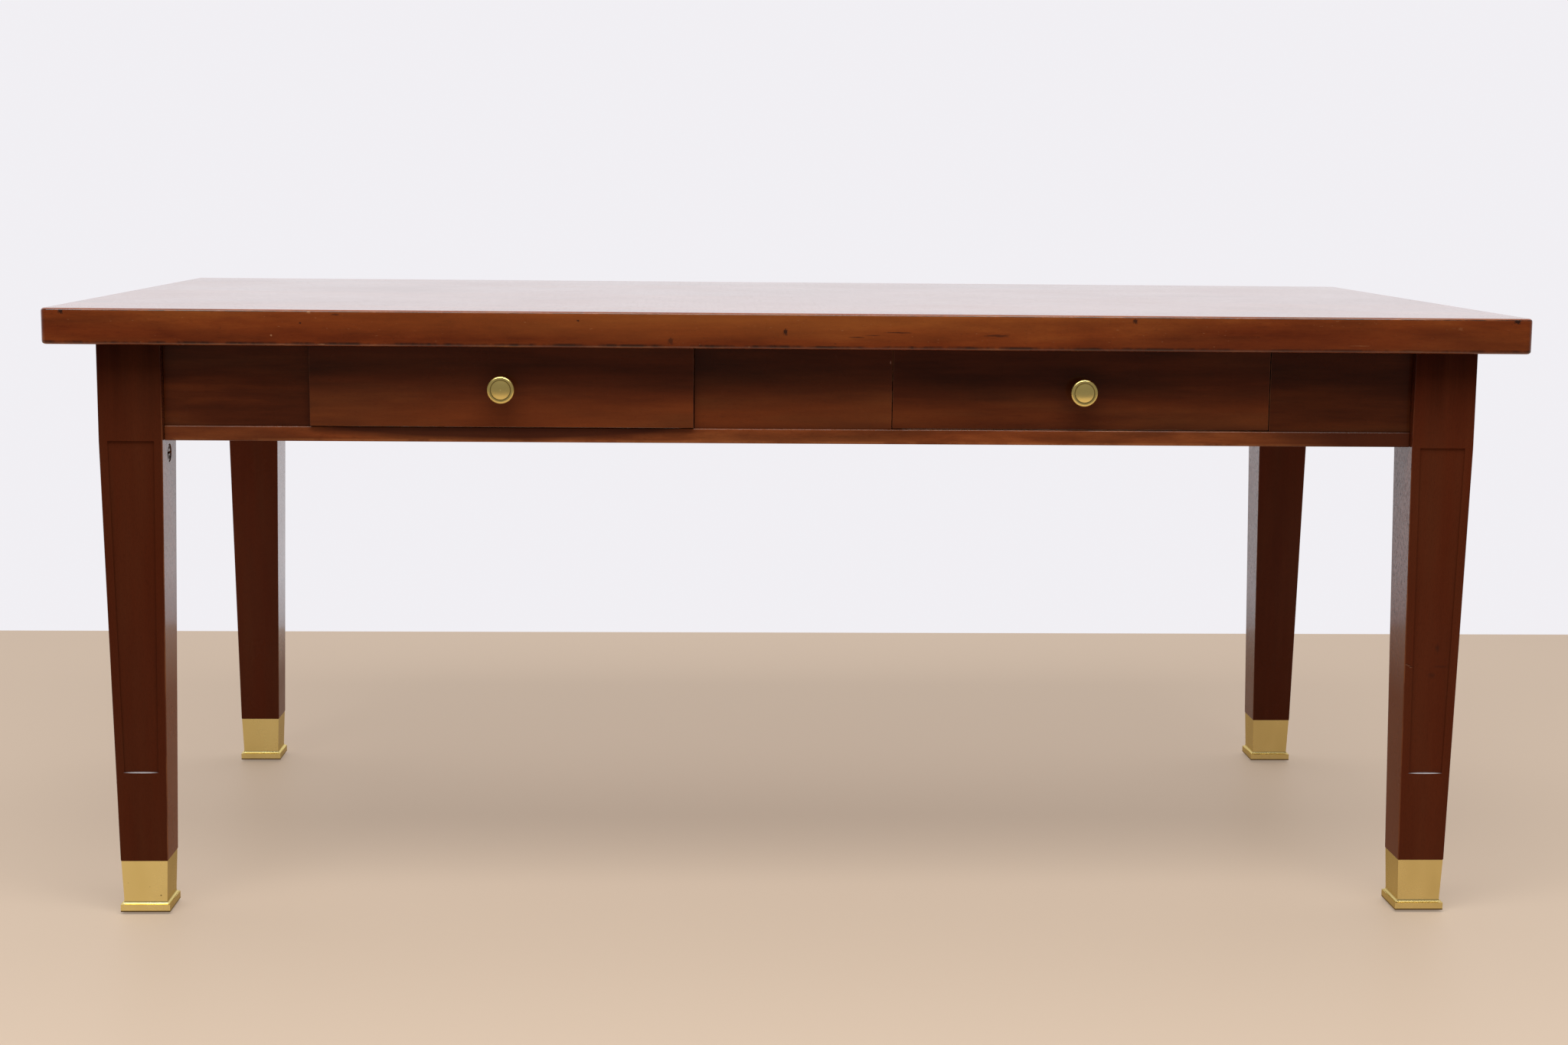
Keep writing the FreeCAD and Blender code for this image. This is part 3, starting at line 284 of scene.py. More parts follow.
# A slanting scratch across the edge of the front right leg with painted shade along its upper side, and stains beside
# it
SCRATCH_FACE = -0.4402
SCRATCH_REACH = (0.0021, 0.004, 0.0006)
SCRATCH_SHADE_ASIDE, SCRATCH_SHADE_UP = 0.0006, 0.0012
STAIN_FACE = -0.4384
LEG_SCRATCHES = tuple(
    mark for x, z in ((0.7838, 0.3263), (0.7866, 0.3249), (0.7893, 0.3230)) for mark in (
        Mark((x, SCRATCH_FACE, z), SCRATCH_REACH, 0.6, 0.55, SCRATCH_TONE, 0.0, 0.5),
        Mark((x + SCRATCH_SHADE_ASIDE, SCRATCH_FACE, z + SCRATCH_SHADE_UP), SCRATCH_REACH, 0.6, 0.65, GRIME_AND_SHADE_TONE,
             0.6, 0.5),
    )
) + (
    Mark((0.8229, STAIN_FACE, 0.3480), (0.0042, 0.004, 0.0066), 0.7, 0.50, STAIN_TONE, core=0.1),
    Mark((0.8172, STAIN_FACE, 0.3120), (0.0062, 0.004, 0.0050), 0.8, 0.42, STAIN_TONE, core=0.1),
    Mark((0.8290, STAIN_FACE, 0.3235), (0.0120, 0.004, 0.0028), 1.0, 0.35, STAIN_TONE, core=0.1),
)
# Each leg: its share of the common tone, raised on the back legs as painted light, its gloss, how polished its sides
# are, how open their pores are, the height that the polish is worn off below, and how pale its inner face is painted,
# a painted reflection of warm light off the floor
LEG_LOOKS = {
    "front_left": (0.87, 1.07, 0.72, 0.35, 0.36, 0.95),
    "front_right": (1.05, 1.07, 0.70, 0.75, 0.36, 0.60),
    "back_left": (1.30, 1.15, 0.88, 0.30, 0.22, 0.60),
    "back_right": (1.05, 1.15, 0.55, 0.85, 0.22, 0.60),
}
# How far apart the legs are cut, along their first two axes
LEG_SHIFTS = (1.7, 0.4)

# A dark band round the lower edge of every sabot, painted shade that stands for the shadow under its plate, and
# spots on the front left one, each a centre, reach and strength
SABOT_CONTACT_SHADE = (((0.0, 0.0, 0.0030), (9.0, 9.0, 0.0021), 0.95),)
SABOT_SPOTS = (
    ((-0.7962, -0.4352, 0.0236), (0.0012, 0.006, 0.0013), 0.8),
    ((-0.8100, -0.4358, 0.0350), (0.0011, 0.006, 0.0010), 0.22),
    ((-0.8370, -0.4360, 0.0400), (0.0012, 0.006, 0.0010), 0.18),
)
# Painted shade on the near half of the leg bolt's head, and rust above and below the slot, each a centre, reach and
# strength
BOLT_SHADE_AND_RUST = (
    ((-0.7780, -0.4125, 0.5855), (0.012, 0.0052, 0.0180), 0.95),
    ((-0.7780, -0.4025, 0.5795), (0.012, 0.0050, 0.0032), 0.85),
    ((-0.7780, -0.4025, 0.5915), (0.012, 0.0045, 0.0026), 0.85),
)


def opaque(tone):
    return (*tone, 1.0)


def shaded(tones, share):
    return tuple(tuple(part * share for part in tone) for tone in tones)


def feed(tree, node, values):
    for name, value in values.items():
        socket = node.inputs[name]
        if isinstance(value, bpy.types.NodeSocket):
            tree.links.new(value, socket)
        else:
            socket.default_value = value


def put(tree, kind, inputs=None, **settings):
    made = tree.nodes.new(kind)
    for name, value in settings.items():
        setattr(made, name, value)
    feed(tree, made, inputs or {})
    return made


def maths(tree, operation, first, second=0.0):
    return put(tree, "ShaderNodeMath", {0: first, 1: second}, operation=operation).outputs["Value"]


def vector_maths(tree, operation, first, second=ORIGIN, result="Vector"):
    return put(tree, "ShaderNodeVectorMath", {0: first, 1: second}, operation=operation).outputs[result]


def parts_of(tree, vector):
    return put(tree, "ShaderNodeSeparateXYZ", {"Vector": vector}).outputs


def along_across(tree, along, across):
    return put(tree, "ShaderNodeCombineXYZ", {"X": along, "Y": across, "Z": across}).outputs["Vector"]


def spread(tree, value, low, high, start=0.0, end=1.0, curve="LINEAR"):
    limits = {"Value": value, "From Min": low, "From Max": high, "To Min": start, "To Max": end}
    return put(tree, "ShaderNodeMapRange", limits, interpolation_type=curve).outputs["Result"]


def masked(tree, value, name):
    return spread(tree, value, *MASKS[name])


def stretched_noise(tree, vector, stretch, detail, roughness):
    scaled = vector_maths(tree, "MULTIPLY", vector, stretch)
    settings = {"Vector": scaled, "Scale": 1.0, "Detail": detail, "Roughness": roughness}
    return put(tree, "ShaderNodeTexNoise", settings).outputs["Fac"]


def noise(tree, vector, name):
    return stretched_noise(tree, vector, *NOISES[name])


def centred(tree, value, amount):
    return maths(tree, "MULTIPLY", maths(tree, "SUBTRACT", value, 0.5), amount)


def mixed(tree, mask, first, second, blend="MIX"):
    # A mix node has inputs of the same name for each data type, so those for colours go by number
    made = put(tree, "ShaderNodeMix", {0: mask, 6: first, 7: second}, data_type="RGBA", blend_type=blend)
    return made.outputs[2]


def painted(tree, colour, mask, strength, tone):
    return mixed(tree, maths(tree, "MULTIPLY", mask, strength), colour, opaque(tone))


def open_group(name, inputs):
    tree = bpy.data.node_groups.new(name, "ShaderNodeTree")
    for socket, value in inputs.items():
        kind = "NodeSocketVector" if isinstance(value, tuple) else "NodeSocketFloat"
        tree.interface.new_socket(name=socket, in_out="INPUT", socket_type=kind).default_value = value
    return tree, put(tree, "NodeGroupInput").outputs


def close_group(tree, results):
    for name in results:
        tree.interface.new_socket(name=name, in_out="OUTPUT", socket_type="NodeSocketFloat")
    put(tree, "NodeGroupOutput", results)
    return tree


def use_group(tree, group, inputs):
    return put(tree, "ShaderNodeGroup", inputs, node_tree=group).outputs


def board_figure_group():
    tree, given = open_group("board_figure", {
        "Grain": ORIGIN, "Band Width": 0.040, "Streak Width": 0.010, "Waviness": 0.030, "Pore Length": 0.008,
        "Pore Width": 0.0005, "Pore Share": 0.35, "Mottle": 0.3})
    grain = given["Grain"]
    rates = {name: maths(tree, "DIVIDE", 1.0, given[name])
             for name in ("Band Width", "Streak Width", "Pore Length", "Pore Width")}
    wander = centred(tree, noise(tree, grain, "wander"), given["Waviness"])
    wavy = vector_maths(tree, "ADD", grain, along_across(tree, 0.0, wander))

    stretch = along_across(tree, BAND_RATE, rates["Band Width"])
    bands = masked(tree, stretched_noise(tree, wavy, stretch, BAND_DETAIL, BAND_ROUGHNESS), "figure")
    stretch = along_across(tree, STREAK_RATE, rates["Streak Width"])
    streaks = masked(tree, stretched_noise(tree, wavy, stretch, STREAK_DETAIL, STREAK_ROUGHNESS), "figure")
    fibre = noise(tree, wavy, "fibre")
    tone = centred(tree, noise(tree, grain, "mottle"), given["Mottle"])
    for value, share in ((bands, BAND_SHARE), (streaks, STREAK_SHARE), (fibre, FIBRE_SHARE)):
        tone = maths(tree, "ADD", tone, maths(tree, "MULTIPLY", value, share))

    stretch = along_across(tree, rates["Pore Length"], rates["Pore Width"])
    pores = stretched_noise(tree, grain, stretch, PORE_DETAIL, PORE_ROUGHNESS)
    limit = maths(tree, "SUBTRACT", PORE_LIMIT, maths(tree, "MULTIPLY", given["Pore Share"], PORE_LIMIT_FALL))
    pores = masked(tree, maths(tree, "SUBTRACT", pores, limit), "pores")
    redness = masked(tree, noise(tree, grain, "redness"), "redness")
    return close_group(tree, {"Tone": tone, "Fibre": fibre, "Pores": pores, "Redness": redness})


def worn_arris_group():
    tree, given = open_group("worn_arris", {"Position": ORIGIN, "Facing": (0.0, 0.0, 1.0)})
    parts = parts_of(tree, vector_maths(tree, "ABSOLUTE", given["Facing"]))
    largest = maths(tree, "MAXIMUM", maths(tree, "MAXIMUM", parts["X"], parts["Y"]), parts["Z"])
    arris = masked(tree, largest, "arris")
    patches = masked(tree, noise(tree, given["Position"], "rubbed patches"), "rubbed patches")
    return close_group(tree, {
        "Rub": maths(tree, "MULTIPLY", arris, patches),
        "Arris": arris,
        "Side": masked(tree, parts["X"], "side"),
        "Ledge": masked(tree, parts_of(tree, given["Facing"])["Z"], "ledge"),
    })


def placed_mark_group():
    tree, given = open_group("placed_mark", {
        "Position": ORIGIN, "Centre": ORIGIN, "Reach": (0.01, 0.01, 0.01), "Ragged": 0.4, "Core": 0.6})
    away = vector_maths(tree, "SUBTRACT", given["Position"], given["Centre"])
    share = vector_maths(tree, "DIVIDE", away, given["Reach"])
    distance = vector_maths(tree, "LENGTH", share, result="Value")
    rim = maths(tree, "ADD", distance, centred(tree, noise(tree, share, "ragged rim"), given["Ragged"]))
    return close_group(tree, {"Mark": spread(tree, rim, 1.0, given["Core"])})


def edge_line_group():
    tree, given = open_group("edge_line", {
        "Position": ORIGIN, "Level": 0.0, "Half Width": 0.001, "Sway": 0.001, "Broken": 0.5})
    position = given["Position"]
    drift = centred(tree, noise(tree, position, "line drift"), given["Sway"])
    level = maths(tree, "ADD", given["Level"], drift)
    away = maths(tree, "ABSOLUTE", maths(tree, "SUBTRACT", parts_of(tree, position)["Z"], level))
    line = masked(tree, maths(tree, "DIVIDE", away, given["Half Width"]), "line")
    gaps = maths(tree, "SUBTRACT", noise(tree, position, "line gaps"), given["Broken"])
    return close_group(tree, {"Line": maths(tree, "MULTIPLY", line, masked(tree, gaps, "line gaps"))})


def small_knocks_group():
    tree, given = open_group("small_knocks", {"Grain": ORIGIN})
    scuffs, places, dents = (
        masked(tree, noise(tree, given["Grain"], name), name) for name in ("scuffs", "scuffed places", "dents"))
    return close_group(tree, {"Scuffs": maths(tree, "MULTIPLY", scuffs, places), "Dents": dents})


# Paints light and shade by height: painted shade on the heads of the legs and on the boards under the overhang of the
# top, and painted light on the upper part of the top's edge
def shade_gradient_group():
    tree, given = open_group("shade_gradient", {"Position": ORIGIN, "Low": 0.0, "High": 1.0, "Sway": 0.02})
    position = given["Position"]
    drift = centred(tree, noise(tree, position, "paling drift"), given["Sway"])
    height = maths(tree, "ADD", parts_of(tree, position)["Z"], drift)
    return close_group(tree, {"Pale": spread(tree, height, given["High"], given["Low"], curve="SMOOTHSTEP")})


def lacquer_group():
    tree, given = open_group("lacquer", {"Position": ORIGIN, "Sheen Low": 0.20, "Sheen High": 0.32})
    smears = noise(tree, given["Position"], "smears")
    rough = spread(tree, smears, *SMEAR_RANGE, given["Sheen Low"], given["Sheen High"])
    return close_group(tree, {"Roughness": rough, "Ripple": noise(tree, given["Position"], "ripple")})


BOARD_FIGURE = board_figure_group()
WORN_ARRIS = worn_arris_group()
PLACED_MARK = placed_mark_group()
EDGE_LINE = edge_line_group()
SMALL_KNOCKS = small_knocks_group()
SHADE_GRADIENT = shade_gradient_group()
LACQUER = lacquer_group()


def blank_material(name):
    material = bpy.data.materials.new(name)
    material.use_nodes = True
    tree = material.node_tree
    return material, tree, tree.nodes["Principled BSDF"]


def object_position(tree):
    return tree.nodes.new("ShaderNodeTexCoord").outputs["Object"]


def surface_normal(tree):
    return tree.nodes.new("ShaderNodeNewGeometry").outputs["Normal"]


def board_colour(tree, look, position, tones, painted_shading):
    tone = look["Tone"]
    if painted_shading:
        low, high, share = painted_shading
        pale = use_group(tree, SHADE_GRADIENT, {"Position": position, "Low": low, "High": high})["Pale"]
        tone = maths(tree, "MULTIPLY", tone, 1.0 - share)
        tone = maths(tree, "ADD", tone, maths(tree, "MULTIPLY", pale, share))
    ramp = put(tree, "ShaderNodeValToRGB", {"Fac": tone})
    first, last = ramp.color_ramp.elements
    first.position, middle_place, last.position = TONE_PLACES
    first.color, middle_colour, last.color = (opaque(each) for each in tones)
    ramp.color_ramp.elements.new(middle_place).color = middle_colour
    return mixed(tree, look["Redness"], ramp.outputs["Color"], opaque(RED_CAST), "MULTIPLY")


# A timber has its tones, the way its grain runs and where it is cut from. Its sheen is a range of roughness. Its
# pores have a strength on the flat and on polished sides. Its coat is the polish on the flat, arrises, sides and
# ledges. Its painted shading, a painted light and shade by height, has a low level, a high level and a share.
def timber(name, tones, grain, shift, figure=None, sheen=(0.20, 0.32), rub=0.5, pores=(0.7, 0.7), gloss=1.15,
           coat=(0.12, 0.9, 0.0, 1.0), dull_below=None, inner=0.0, painted_shading=None, lines=(), knocks=0.0, marks=()):
    material, tree, shader = blank_material(name)
    position = object_position(tree)
    facing = surface_normal(tree)
    level = parts_of(tree, position)["Z"]
    lie = {"Vector": position, "Rotation": grain, "Location": shift}
    board = put(tree, "ShaderNodeMapping", lie).outputs["Vector"]
    look = use_group(tree, BOARD_FIGURE, {"Grain": board, **(figure or {})})
    worn = use_group(tree, WORN_ARRIS, {"Position": position, "Facing": facing})

    colour = board_colour(tree, look, position, tones, painted_shading)
    # The inner faces of the legs are painted paler and warmer, a painted reflection of the floor's light
    if inner:
        across = parts_of(tree, vector_maths(tree, "MULTIPLY", facing, position))["X"]
        inward = maths(tree, "MULTIPLY", worn["Side"], masked(tree, across, "inward"))
        inward = maths(tree, "MULTIPLY", inward, masked(tree, level, "under rail"))
        colour = painted(tree, colour, inward, inner, INNER_LIGHT_TONE)
    polished_side = worn["Side"]
    if dull_below:
        kept = spread(tree, level, dull_below - POLISH_FADE, dull_below + POLISH_FADE, POLISH_KEPT, 1.0)
        polished_side = maths(tree, "MULTIPLY", polished_side, kept)
    pore_mask = maths(tree, "MULTIPLY", look["Pores"], spread(tree, polished_side, 0.0, 1.0, *pores))
    colour = mixed(tree, pore_mask, colour, opaque(PORE_TONE))
    colour = painted(tree, colour, worn["Rub"], rub, RUBBED_TONE)
    for line in lines:
        mask = use_group(tree, EDGE_LINE, {
            "Position": position, "Level": line.level, "Half Width": line.half_width, "Sway": line.sway,
            "Broken": line.broken})["Line"]
        colour = painted(tree, colour, mask, line.strength, line.tone)
    if knocks:
        hits = use_group(tree, SMALL_KNOCKS, {"Grain": board})
        colour = painted(tree, colour, hits["Scuffs"], knocks, SCUFF_TONE)
        colour = painted(tree, colour, hits["Dents"], knocks, GRIME_AND_SHADE_TONE)
    height = maths(tree, "MULTIPLY", pore_mask, -1.0)
    for mark in marks:
        mask = use_group(tree, PLACED_MARK, {
            "Position": position, "Centre": mark.centre, "Reach": mark.reach, "Ragged": mark.ragged,
            "Core": mark.core})["Mark"]
        colour = painted(tree, colour, mask, mark.strength, mark.tone)
        height = maths(tree, "SUBTRACT", height, maths(tree, "MULTIPLY", mask, mark.depth))

    lacquer = use_group(tree, LACQUER, {"Position": position, "Sheen Low": sheen[0], "Sheen High": sheen[1]})
    height = maths(tree, "ADD", height, maths(tree, "MULTIPLY", look["Fibre"], FIBRE_HEIGHT))
    height = maths(tree, "ADD", height, maths(tree, "MULTIPLY", lacquer["Ripple"], RIPPLE_HEIGHT))
    flat_coat, arris_coat, side_coat, ledge_coat = coat
    polish = flat_coat
    for mask, strength in ((worn["Arris"], arris_coat), (worn["Ledge"], ledge_coat), (polished_side, side_coat)):
        polish = maths(tree, "MAXIMUM", polish, maths(tree, "MULTIPLY", mask, strength))
    closed = maths(tree, "SUBTRACT", 1.0, pore_mask)
    feed(tree, shader, {
        "Base Color": colour,
        "Roughness": lacquer["Roughness"],
        "Normal": put(tree, "ShaderNodeBump", {**TIMBER_BUMP, "Height": height}).outputs["Normal"],
        "IOR": gloss,
        "Coat Weight": maths(tree, "MULTIPLY", polish, closed),
        "Coat Roughness": COAT_ROUGHNESS,
        "Coat IOR": COAT_IOR,
    })
    return material


def spot_mask(tree, position, centre, reach, strength):
    spot = use_group(tree, PLACED_MARK, {"Position": position, "Centre": centre, "Reach": reach})["Mark"]
    return maths(tree, "MULTIPLY", spot, strength)


def groove_mask(tree, position, across, level, radius, half_width):
    parts = parts_of(tree, position)
    aside = maths(tree, "SUBTRACT", maths(tree, "ABSOLUTE", parts["X"]), across)
    above = maths(tree, "SUBTRACT", parts["Z"], level)
    square = maths(tree, "ADD", maths(tree, "MULTIPLY", aside, aside), maths(tree, "MULTIPLY", above, above))
    away = maths(tree, "ABSOLUTE", maths(tree, "SUBTRACT", maths(tree, "SQRT", square), radius))
    return spread(tree, away, half_width, GROOVE_CORE * half_width, 0.0, GROOVE_STRENGTH)


def brass(name, tones, side_share=0.0, groove=None, spots=()):
    material, tree, shader = blank_material(name)
    position = object_position(tree)
    cloud = noise(tree, position, "brass cloud")
    brushed = noise(tree, position, "brushing")
    bright, tarnished = tones
    colour = mixed(tree, masked(tree, cloud, "tarnish"), opaque(bright), opaque(tarnished))
    if side_share:
        sides = use_group(tree, WORN_ARRIS, {"Position": position, "Facing": surface_normal(tree)})["Side"]
        colour = painted(tree, colour, sides, side_share, BRASS_SHADE)
    if groove:
        colour = mixed(tree, groove_mask(tree, position, *groove), colour, opaque(BRASS_DIRT_AND_SHADE))
    for spot in spots:
        colour = mixed(tree, spot_mask(tree, position, *spot), colour, opaque(BRASS_DIRT_AND_SHADE))
    rough = spread(tree, cloud, *CLOUD_RANGE, *BRASS_ROUGHNESS)
    feed(tree, shader, {
        "Base Color": colour,
        "Roughness": maths(tree, "ADD", rough, maths(tree, "MULTIPLY", brushed, BRUSHED_ROUGHNESS)),
        "Normal": put(tree, "ShaderNodeBump", {**BRASS_BUMP, "Height": brushed}).outputs["Normal"],
        "Metallic": 1.0,
        "Specular Tint": opaque(BRASS_EDGE_TONE),
    })
    return material


def steel(name, spots=()):
    material, tree, shader = blank_material(name)
    position = object_position(tree)
    cloud = noise(tree, position, "steel cloud")
    colour = mixed(tree, masked(tree, cloud, "steel shade"), opaque(STEEL_TONE), opaque(STEEL_SHADE))
    rough = spread(tree, cloud, *CLOUD_RANGE, *STEEL_ROUGHNESS)
    metal = 1.0
    # Each spot darkens and dulls the steel, as rust above and below the bolt's slot and as painted shade on the near
    # half of its head
    for spot in spots:
        rust = spot_mask(tree, position, *spot)
        colour = mixed(tree, rust, colour, opaque(GRIME_AND_SHADE_TONE))
        rough = maths(tree, "MAXIMUM", rough, rust)
        metal = maths(tree, "MINIMUM", metal, maths(tree, "SUBTRACT", 1.0, rust))
    feed(tree, shader, {"Base Color": colour, "Roughness": rough, "Metallic": metal})
    return material


def dress(material, *names):
    for name in names:
        slots = nodes[name].data.materials
        slots.clear()
        slots.append(material)


def even_shading(piece):
    piece.modifiers.new("even_shading", "WEIGHTED_NORMAL")


def soften(width, names, corners=None):
    for name in names:
        piece = nodes[name]
        join = piece.modifiers.new("joined_faces", "WELD")
        join.merge_threshold = WELD_REACH
        flat = piece.modifiers.new("whole_faces", "DECIMATE")
        flat.decimate_type = "DISSOLVE"
        flat.angle_limit = FLAT_ANGLE
        round_over = piece.modifiers.new("eased_edges", "BEVEL")
        round_over.width = width
        round_over.segments = ROUND_STEPS
        round_over.use_clamp_overlap = False
        if corners:
            group = piece.vertex_groups.new(name="corners")
            group.add([point.index for point in piece.data.vertices if corners(point.co)], 1.0, "REPLACE")
            round_over.limit_method = "VGROUP"
            round_over.vertex_group = group.name
        else:
            round_over.limit_method = "ANGLE"
            round_over.angle_limit = EDGE_ANGLE
        even_shading(piece)


def leg_corner(point):
    fall = min(max((LEG_KNEE - point.z) / (LEG_KNEE - LEG_ANKLE), 0.0), 1.0)
    half = LEG_HEAD_HALF + (LEG_ANKLE_HALF - LEG_HEAD_HALF) * fall
    aside = abs(abs(point.x) - LEG_CENTRE[0]) - half
    along = abs(abs(point.y) - LEG_CENTRE[1]) - half
    return abs(aside) < CORNER_SLACK and abs(along) < CORNER_SLACK


def finish_top():
    top = timber("top mahogany", TOP_TONES, GRAIN_ALONG_X, ORIGIN, sheen=(0.10, 0.13), gloss=1.55,
                 coat=(0.3, 0.3, 0.3, 0.3))
    dress(top, "top_veneer")
    edge = timber("top edge mahogany", EDGE_TONES, GRAIN_ALONG_X, (0.0, 0.3, 0.0), LIVELY_FIGURE, marks=EDGE_LIGHT_AND_MARKS,
                  **EDGE_LOOK)
    dress(edge, "front_lipping", "back_lipping")
    ends = timber("top end mahogany", EDGE_TONES, GRAIN_ALONG_Y, (3.0, 0.0, 0.0), LIVELY_FIGURE, **EDGE_LOOK)
    dress(ends, "left_lipping", "right_lipping")
    core = timber("core wood", CARCASE_TONES, GRAIN_ALONG_X, (0.0, 2.0, 0.0), rub=0.0, **CARCASE_LOOK)
    dress(core, "top_core")


def finish_legs():
    for index, corner in enumerate(CORNERS):
        share, gloss, side_coat, side_pores, dull_below, inner = LEG_LOOKS[corner]
        # Each leg is painted darker towards its head, a painted shade under the overhang of the top
        leg = timber(f"{corner} leg mahogany", shaded(LEG_TONES, share), GRAIN_ALONG_Z,
                     (LEG_SHIFTS[0] * index, LEG_SHIFTS[1] * index, 0.0), LEG_FIGURE, rub=0.3,
                     pores=(0.12, side_pores), gloss=gloss, coat=(0.04, 0.35, side_coat, 1.0),
                     dull_below=dull_below, inner=inner, painted_shading=(0.580, 0.730, 0.6),
                     marks=LEDGE_HIGHLIGHTS + LEG_SCRATCHES)
        dress(leg, f"{corner}_leg")
    soften(LEG_EASE, [f"{corner}_leg" for corner in CORNERS], leg_corner)


def finish_boards():
    for index, face in enumerate(FACES):
        rail = timber(f"{face} rail mahogany", RAIL_TONES, GRAIN_ALONG_X, (2.3 + index, 0.6, 0.0), LIVELY_FIGURE,
                      pores=(0.3, 0.3), coat=(0.12, 0.3, 0.0, 1.0), lines=RAIL_LINES, marks=RAIL_MARKS_AND_SHADOW)
        dress(rail, f"{face}_bottom_rail")
        soften(RAIL_EASE, [f"{face}_bottom_rail"])
        for place, (board, share, paler, width) in FRONT_BOARDS.items():
            fascia = timber(f"{face} {place} mahogany", shaded(FRONT_TONES, share), GRAIN_ALONG_X,
                            (board + BACK_BOARD_SHIFT * index, 0.2, 0.0), CALM_FIGURE, pores=(0.25, 0.25),
                            painted_shading=(0.630, 0.700, paler), marks=KNOB_GRIME_AND_SHADE + FRONT_CHIPS)
            dress(fascia, f"{face}_{place}")
            soften(width, [f"{face}_{place}"])
    aprons = ("left_end_apron", "right_end_apron")
    dress(timber("end apron mahogany", FRONT_TONES, GRAIN_ALONG_Y, (4.0, 0.3, 0.0), CALM_FIGURE, pores=(0.25, 0.25)),
          *aprons)
    soften(APRON_EASE, aprons)


def finish_inside():
    carcase = timber("carcase wood", CARCASE_TONES, GRAIN_ALONG_Y, (1.0, 0.0, 0.0), rub=0.1, **CARCASE_LOOK)
    dress(carcase, "left_outer_runner", "left_inner_runner", "right_inner_runner", "right_outer_runner",
          "left_kicker", "right_kicker")
    long_carcase = timber("long carcase wood", CARCASE_TONES, GRAIN_ALONG_X, (1.0, 0.7, 0.0), **CARCASE_LOOK)
    dress(long_carcase, "front_upper_rail", "back_upper_rail")
    side = timber("drawer side wood", DRAWER_TONES, GRAIN_ALONG_Y, (2.0, 0.1, 0.0), **DRAWER_LOOK)
    back = timber("drawer back wood", DRAWER_TONES, GRAIN_ALONG_X, (2.0, 0.4, 0.0), **DRAWER_LOOK)
    for corner in CORNERS:
        dress(side, f"{corner}_drawer_left_side", f"{corner}_drawer_right_side")
        dress(back, f"{corner}_drawer_back", f"{corner}_drawer_bottom")


def finish_metal():
    knob = brass("knob brass", KNOB_TONES, groove=KNOB_GROOVE)
    left_sabot = brass("left sabot brass", LEFT_SABOT_TONES, side_share=0.8, spots=SABOT_CONTACT_SHADE + SABOT_SPOTS)
    right_sabot = brass("right sabot brass", RIGHT_SABOT_TONES, side_share=0.6, spots=SABOT_CONTACT_SHADE)
    for corner in CORNERS:
        dress(knob, f"{corner}_drawer_knob")
        even_shading(nodes[f"{corner}_drawer_knob"])
        dress(left_sabot if "left" in corner else right_sabot, f"{corner}_sabot")
    dress(steel("steel"), "floor_glides", "top_screws")
    dress(steel("bolt steel", BOLT_SHADE_AND_RUST), "leg_bolt")


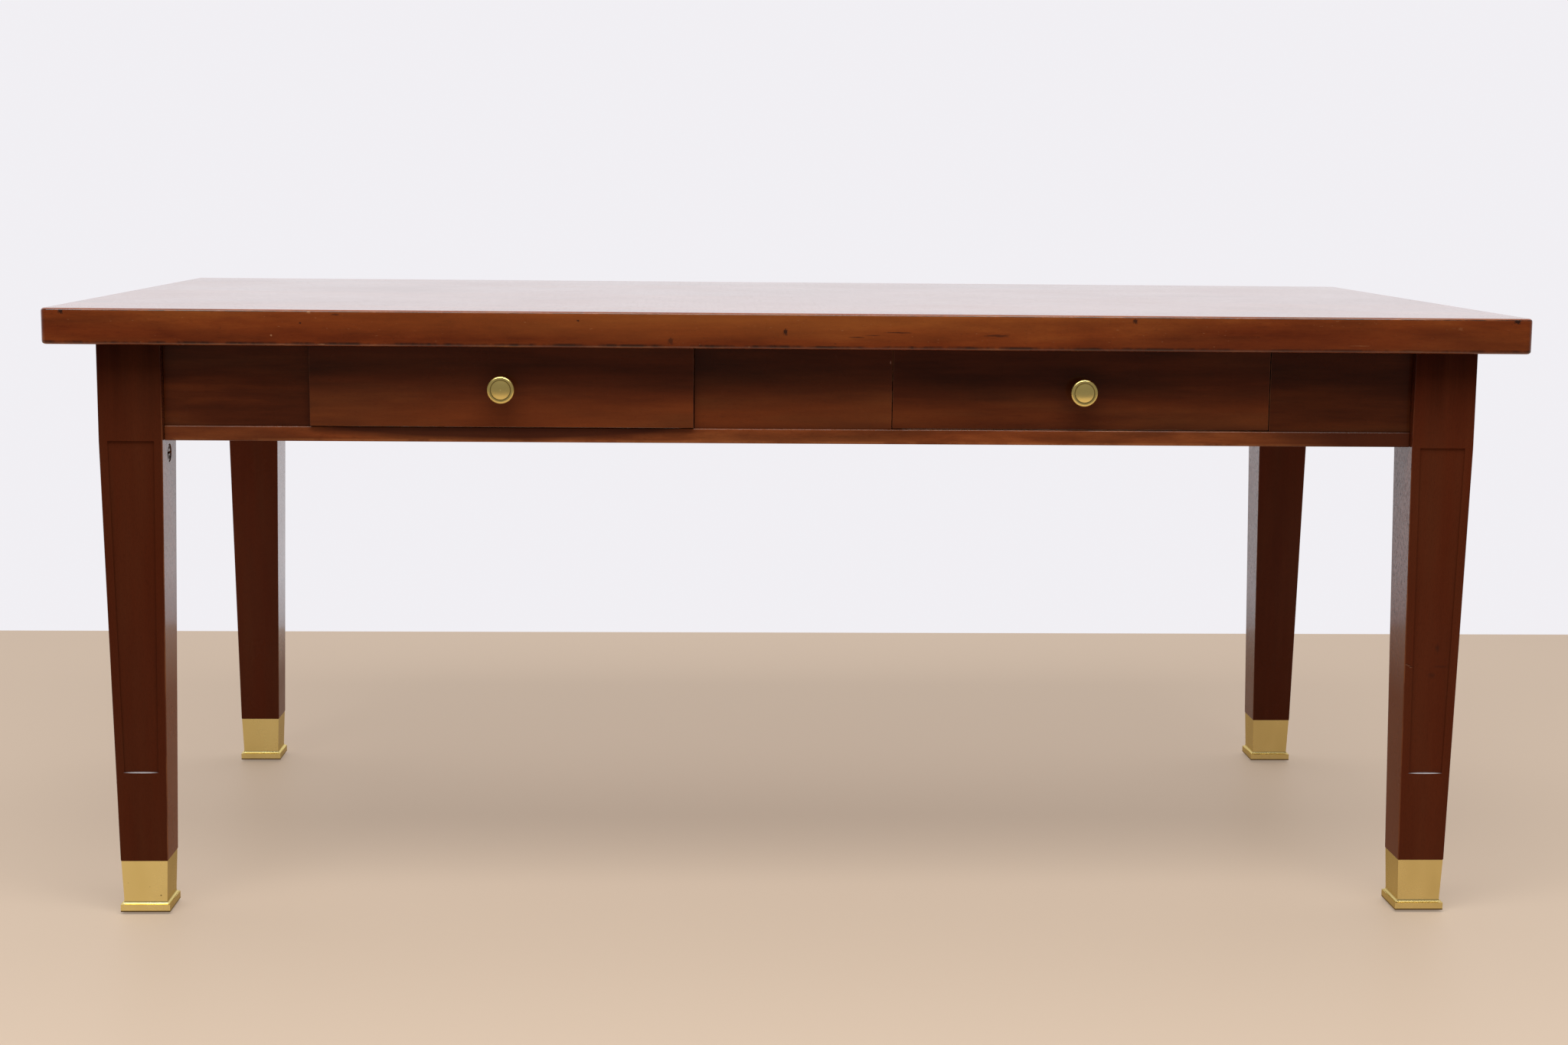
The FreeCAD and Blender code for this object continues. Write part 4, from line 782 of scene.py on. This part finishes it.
def lay_floor():
    bpy.ops.object.select_all(action="DESELECT")
    bpy.ops.mesh.primitive_plane_add(size=1.0, location=FLOOR_MIDDLE)
    floor = bpy.context.object
    floor.name = "pale_floor"
    floor.scale = FLOOR_SIZE
    bpy.ops.object.transform_apply(location=True, rotation=True, scale=True)
    material, tree, shader = blank_material("pale floor")
    feed(tree, shader, {
        "Base Color": opaque(FLOOR_TONE), "Roughness": FLOOR_ROUGHNESS, "Specular IOR Level": FLOOR_SPECULAR})
    path = tree.nodes.new("ShaderNodeLightPath").outputs
    seen = maths(tree, "MAXIMUM", path["Is Camera Ray"], path["Is Glossy Ray"])
    seen = maths(tree, "MAXIMUM", seen, path["Is Transmission Ray"])
    share = maths(tree, "MULTIPLY", seen, FLOOR_GLOW_SHARE)
    glow = put(tree, "ShaderNodeEmission", {"Color": opaque(FLOOR_GLOW), "Strength": 1.0}).outputs["Emission"]
    both = put(tree, "ShaderNodeMixShader", {0: share, 1: shader.outputs["BSDF"], 2: glow}).outputs["Shader"]
    feed(tree, tree.nodes["Material Output"], {"Surface": both})
    floor.data.materials.append(material)


def light_room():
    world = bpy.data.worlds.new("studio")
    bpy.context.scene.world = world
    world.use_nodes = True
    tree = world.node_tree
    tree.nodes.clear()
    direction = tree.nodes.new("ShaderNodeTexCoord").outputs["Generated"]
    wall_side = masked(tree, parts_of(tree, direction)["Y"], "wall side")
    lit = mixed(tree, wall_side, opaque(ROOM_TONE), opaque(WALL_TONE))
    path = tree.nodes.new("ShaderNodeLightPath").outputs
    shown = maths(tree, "MAXIMUM", path["Is Camera Ray"], path["Is Transmission Ray"])
    colour = mixed(tree, shown, lit, opaque(WALL_TONE))
    background = put(tree, "ShaderNodeBackground", {"Color": colour, "Strength": 1.0}).outputs["Background"]
    put(tree, "ShaderNodeOutputWorld", {"Surface": background})

    # An area lamp shines straight down unless it is turned
    lamp = bpy.data.lights.new("ceiling_softbox", "AREA")
    lamp.shape = "RECTANGLE"
    lamp.size, lamp.size_y = SOFTBOX_SIZE
    lamp.energy = SOFTBOX_POWER
    softbox = bpy.data.objects.new("ceiling_softbox", lamp)
    softbox.location = SOFTBOX_PLACE
    bpy.context.scene.collection.objects.link(softbox)


def stand_camera():
    lens = bpy.data.cameras.new("viewpoint")
    lens.sensor_fit = "HORIZONTAL"
    lens.sensor_width = SENSOR_WIDTH
    lens.lens = SENSOR_WIDTH * FOCAL_PIXELS / PICTURE_WIDTH
    camera = bpy.data.objects.new("viewpoint", lens)
    bpy.context.scene.collection.objects.link(camera)
    turn = Matrix.Rotation(-CAMERA_YAW, 4, "Z")
    tilt = Matrix.Rotation(math.pi / 2 - CAMERA_PITCH, 4, "X")
    roll = Matrix.Rotation(CAMERA_ROLL, 4, "Z")
    camera.matrix_world = Matrix.Translation(CAMERA_PLACE) @ turn @ tilt @ roll
    bpy.context.scene.camera = camera


bpy.context.scene.view_settings.view_transform = "Standard"
finish_top()
finish_legs()
finish_boards()
finish_inside()
finish_metal()
lay_floor()
light_room()
stand_camera()
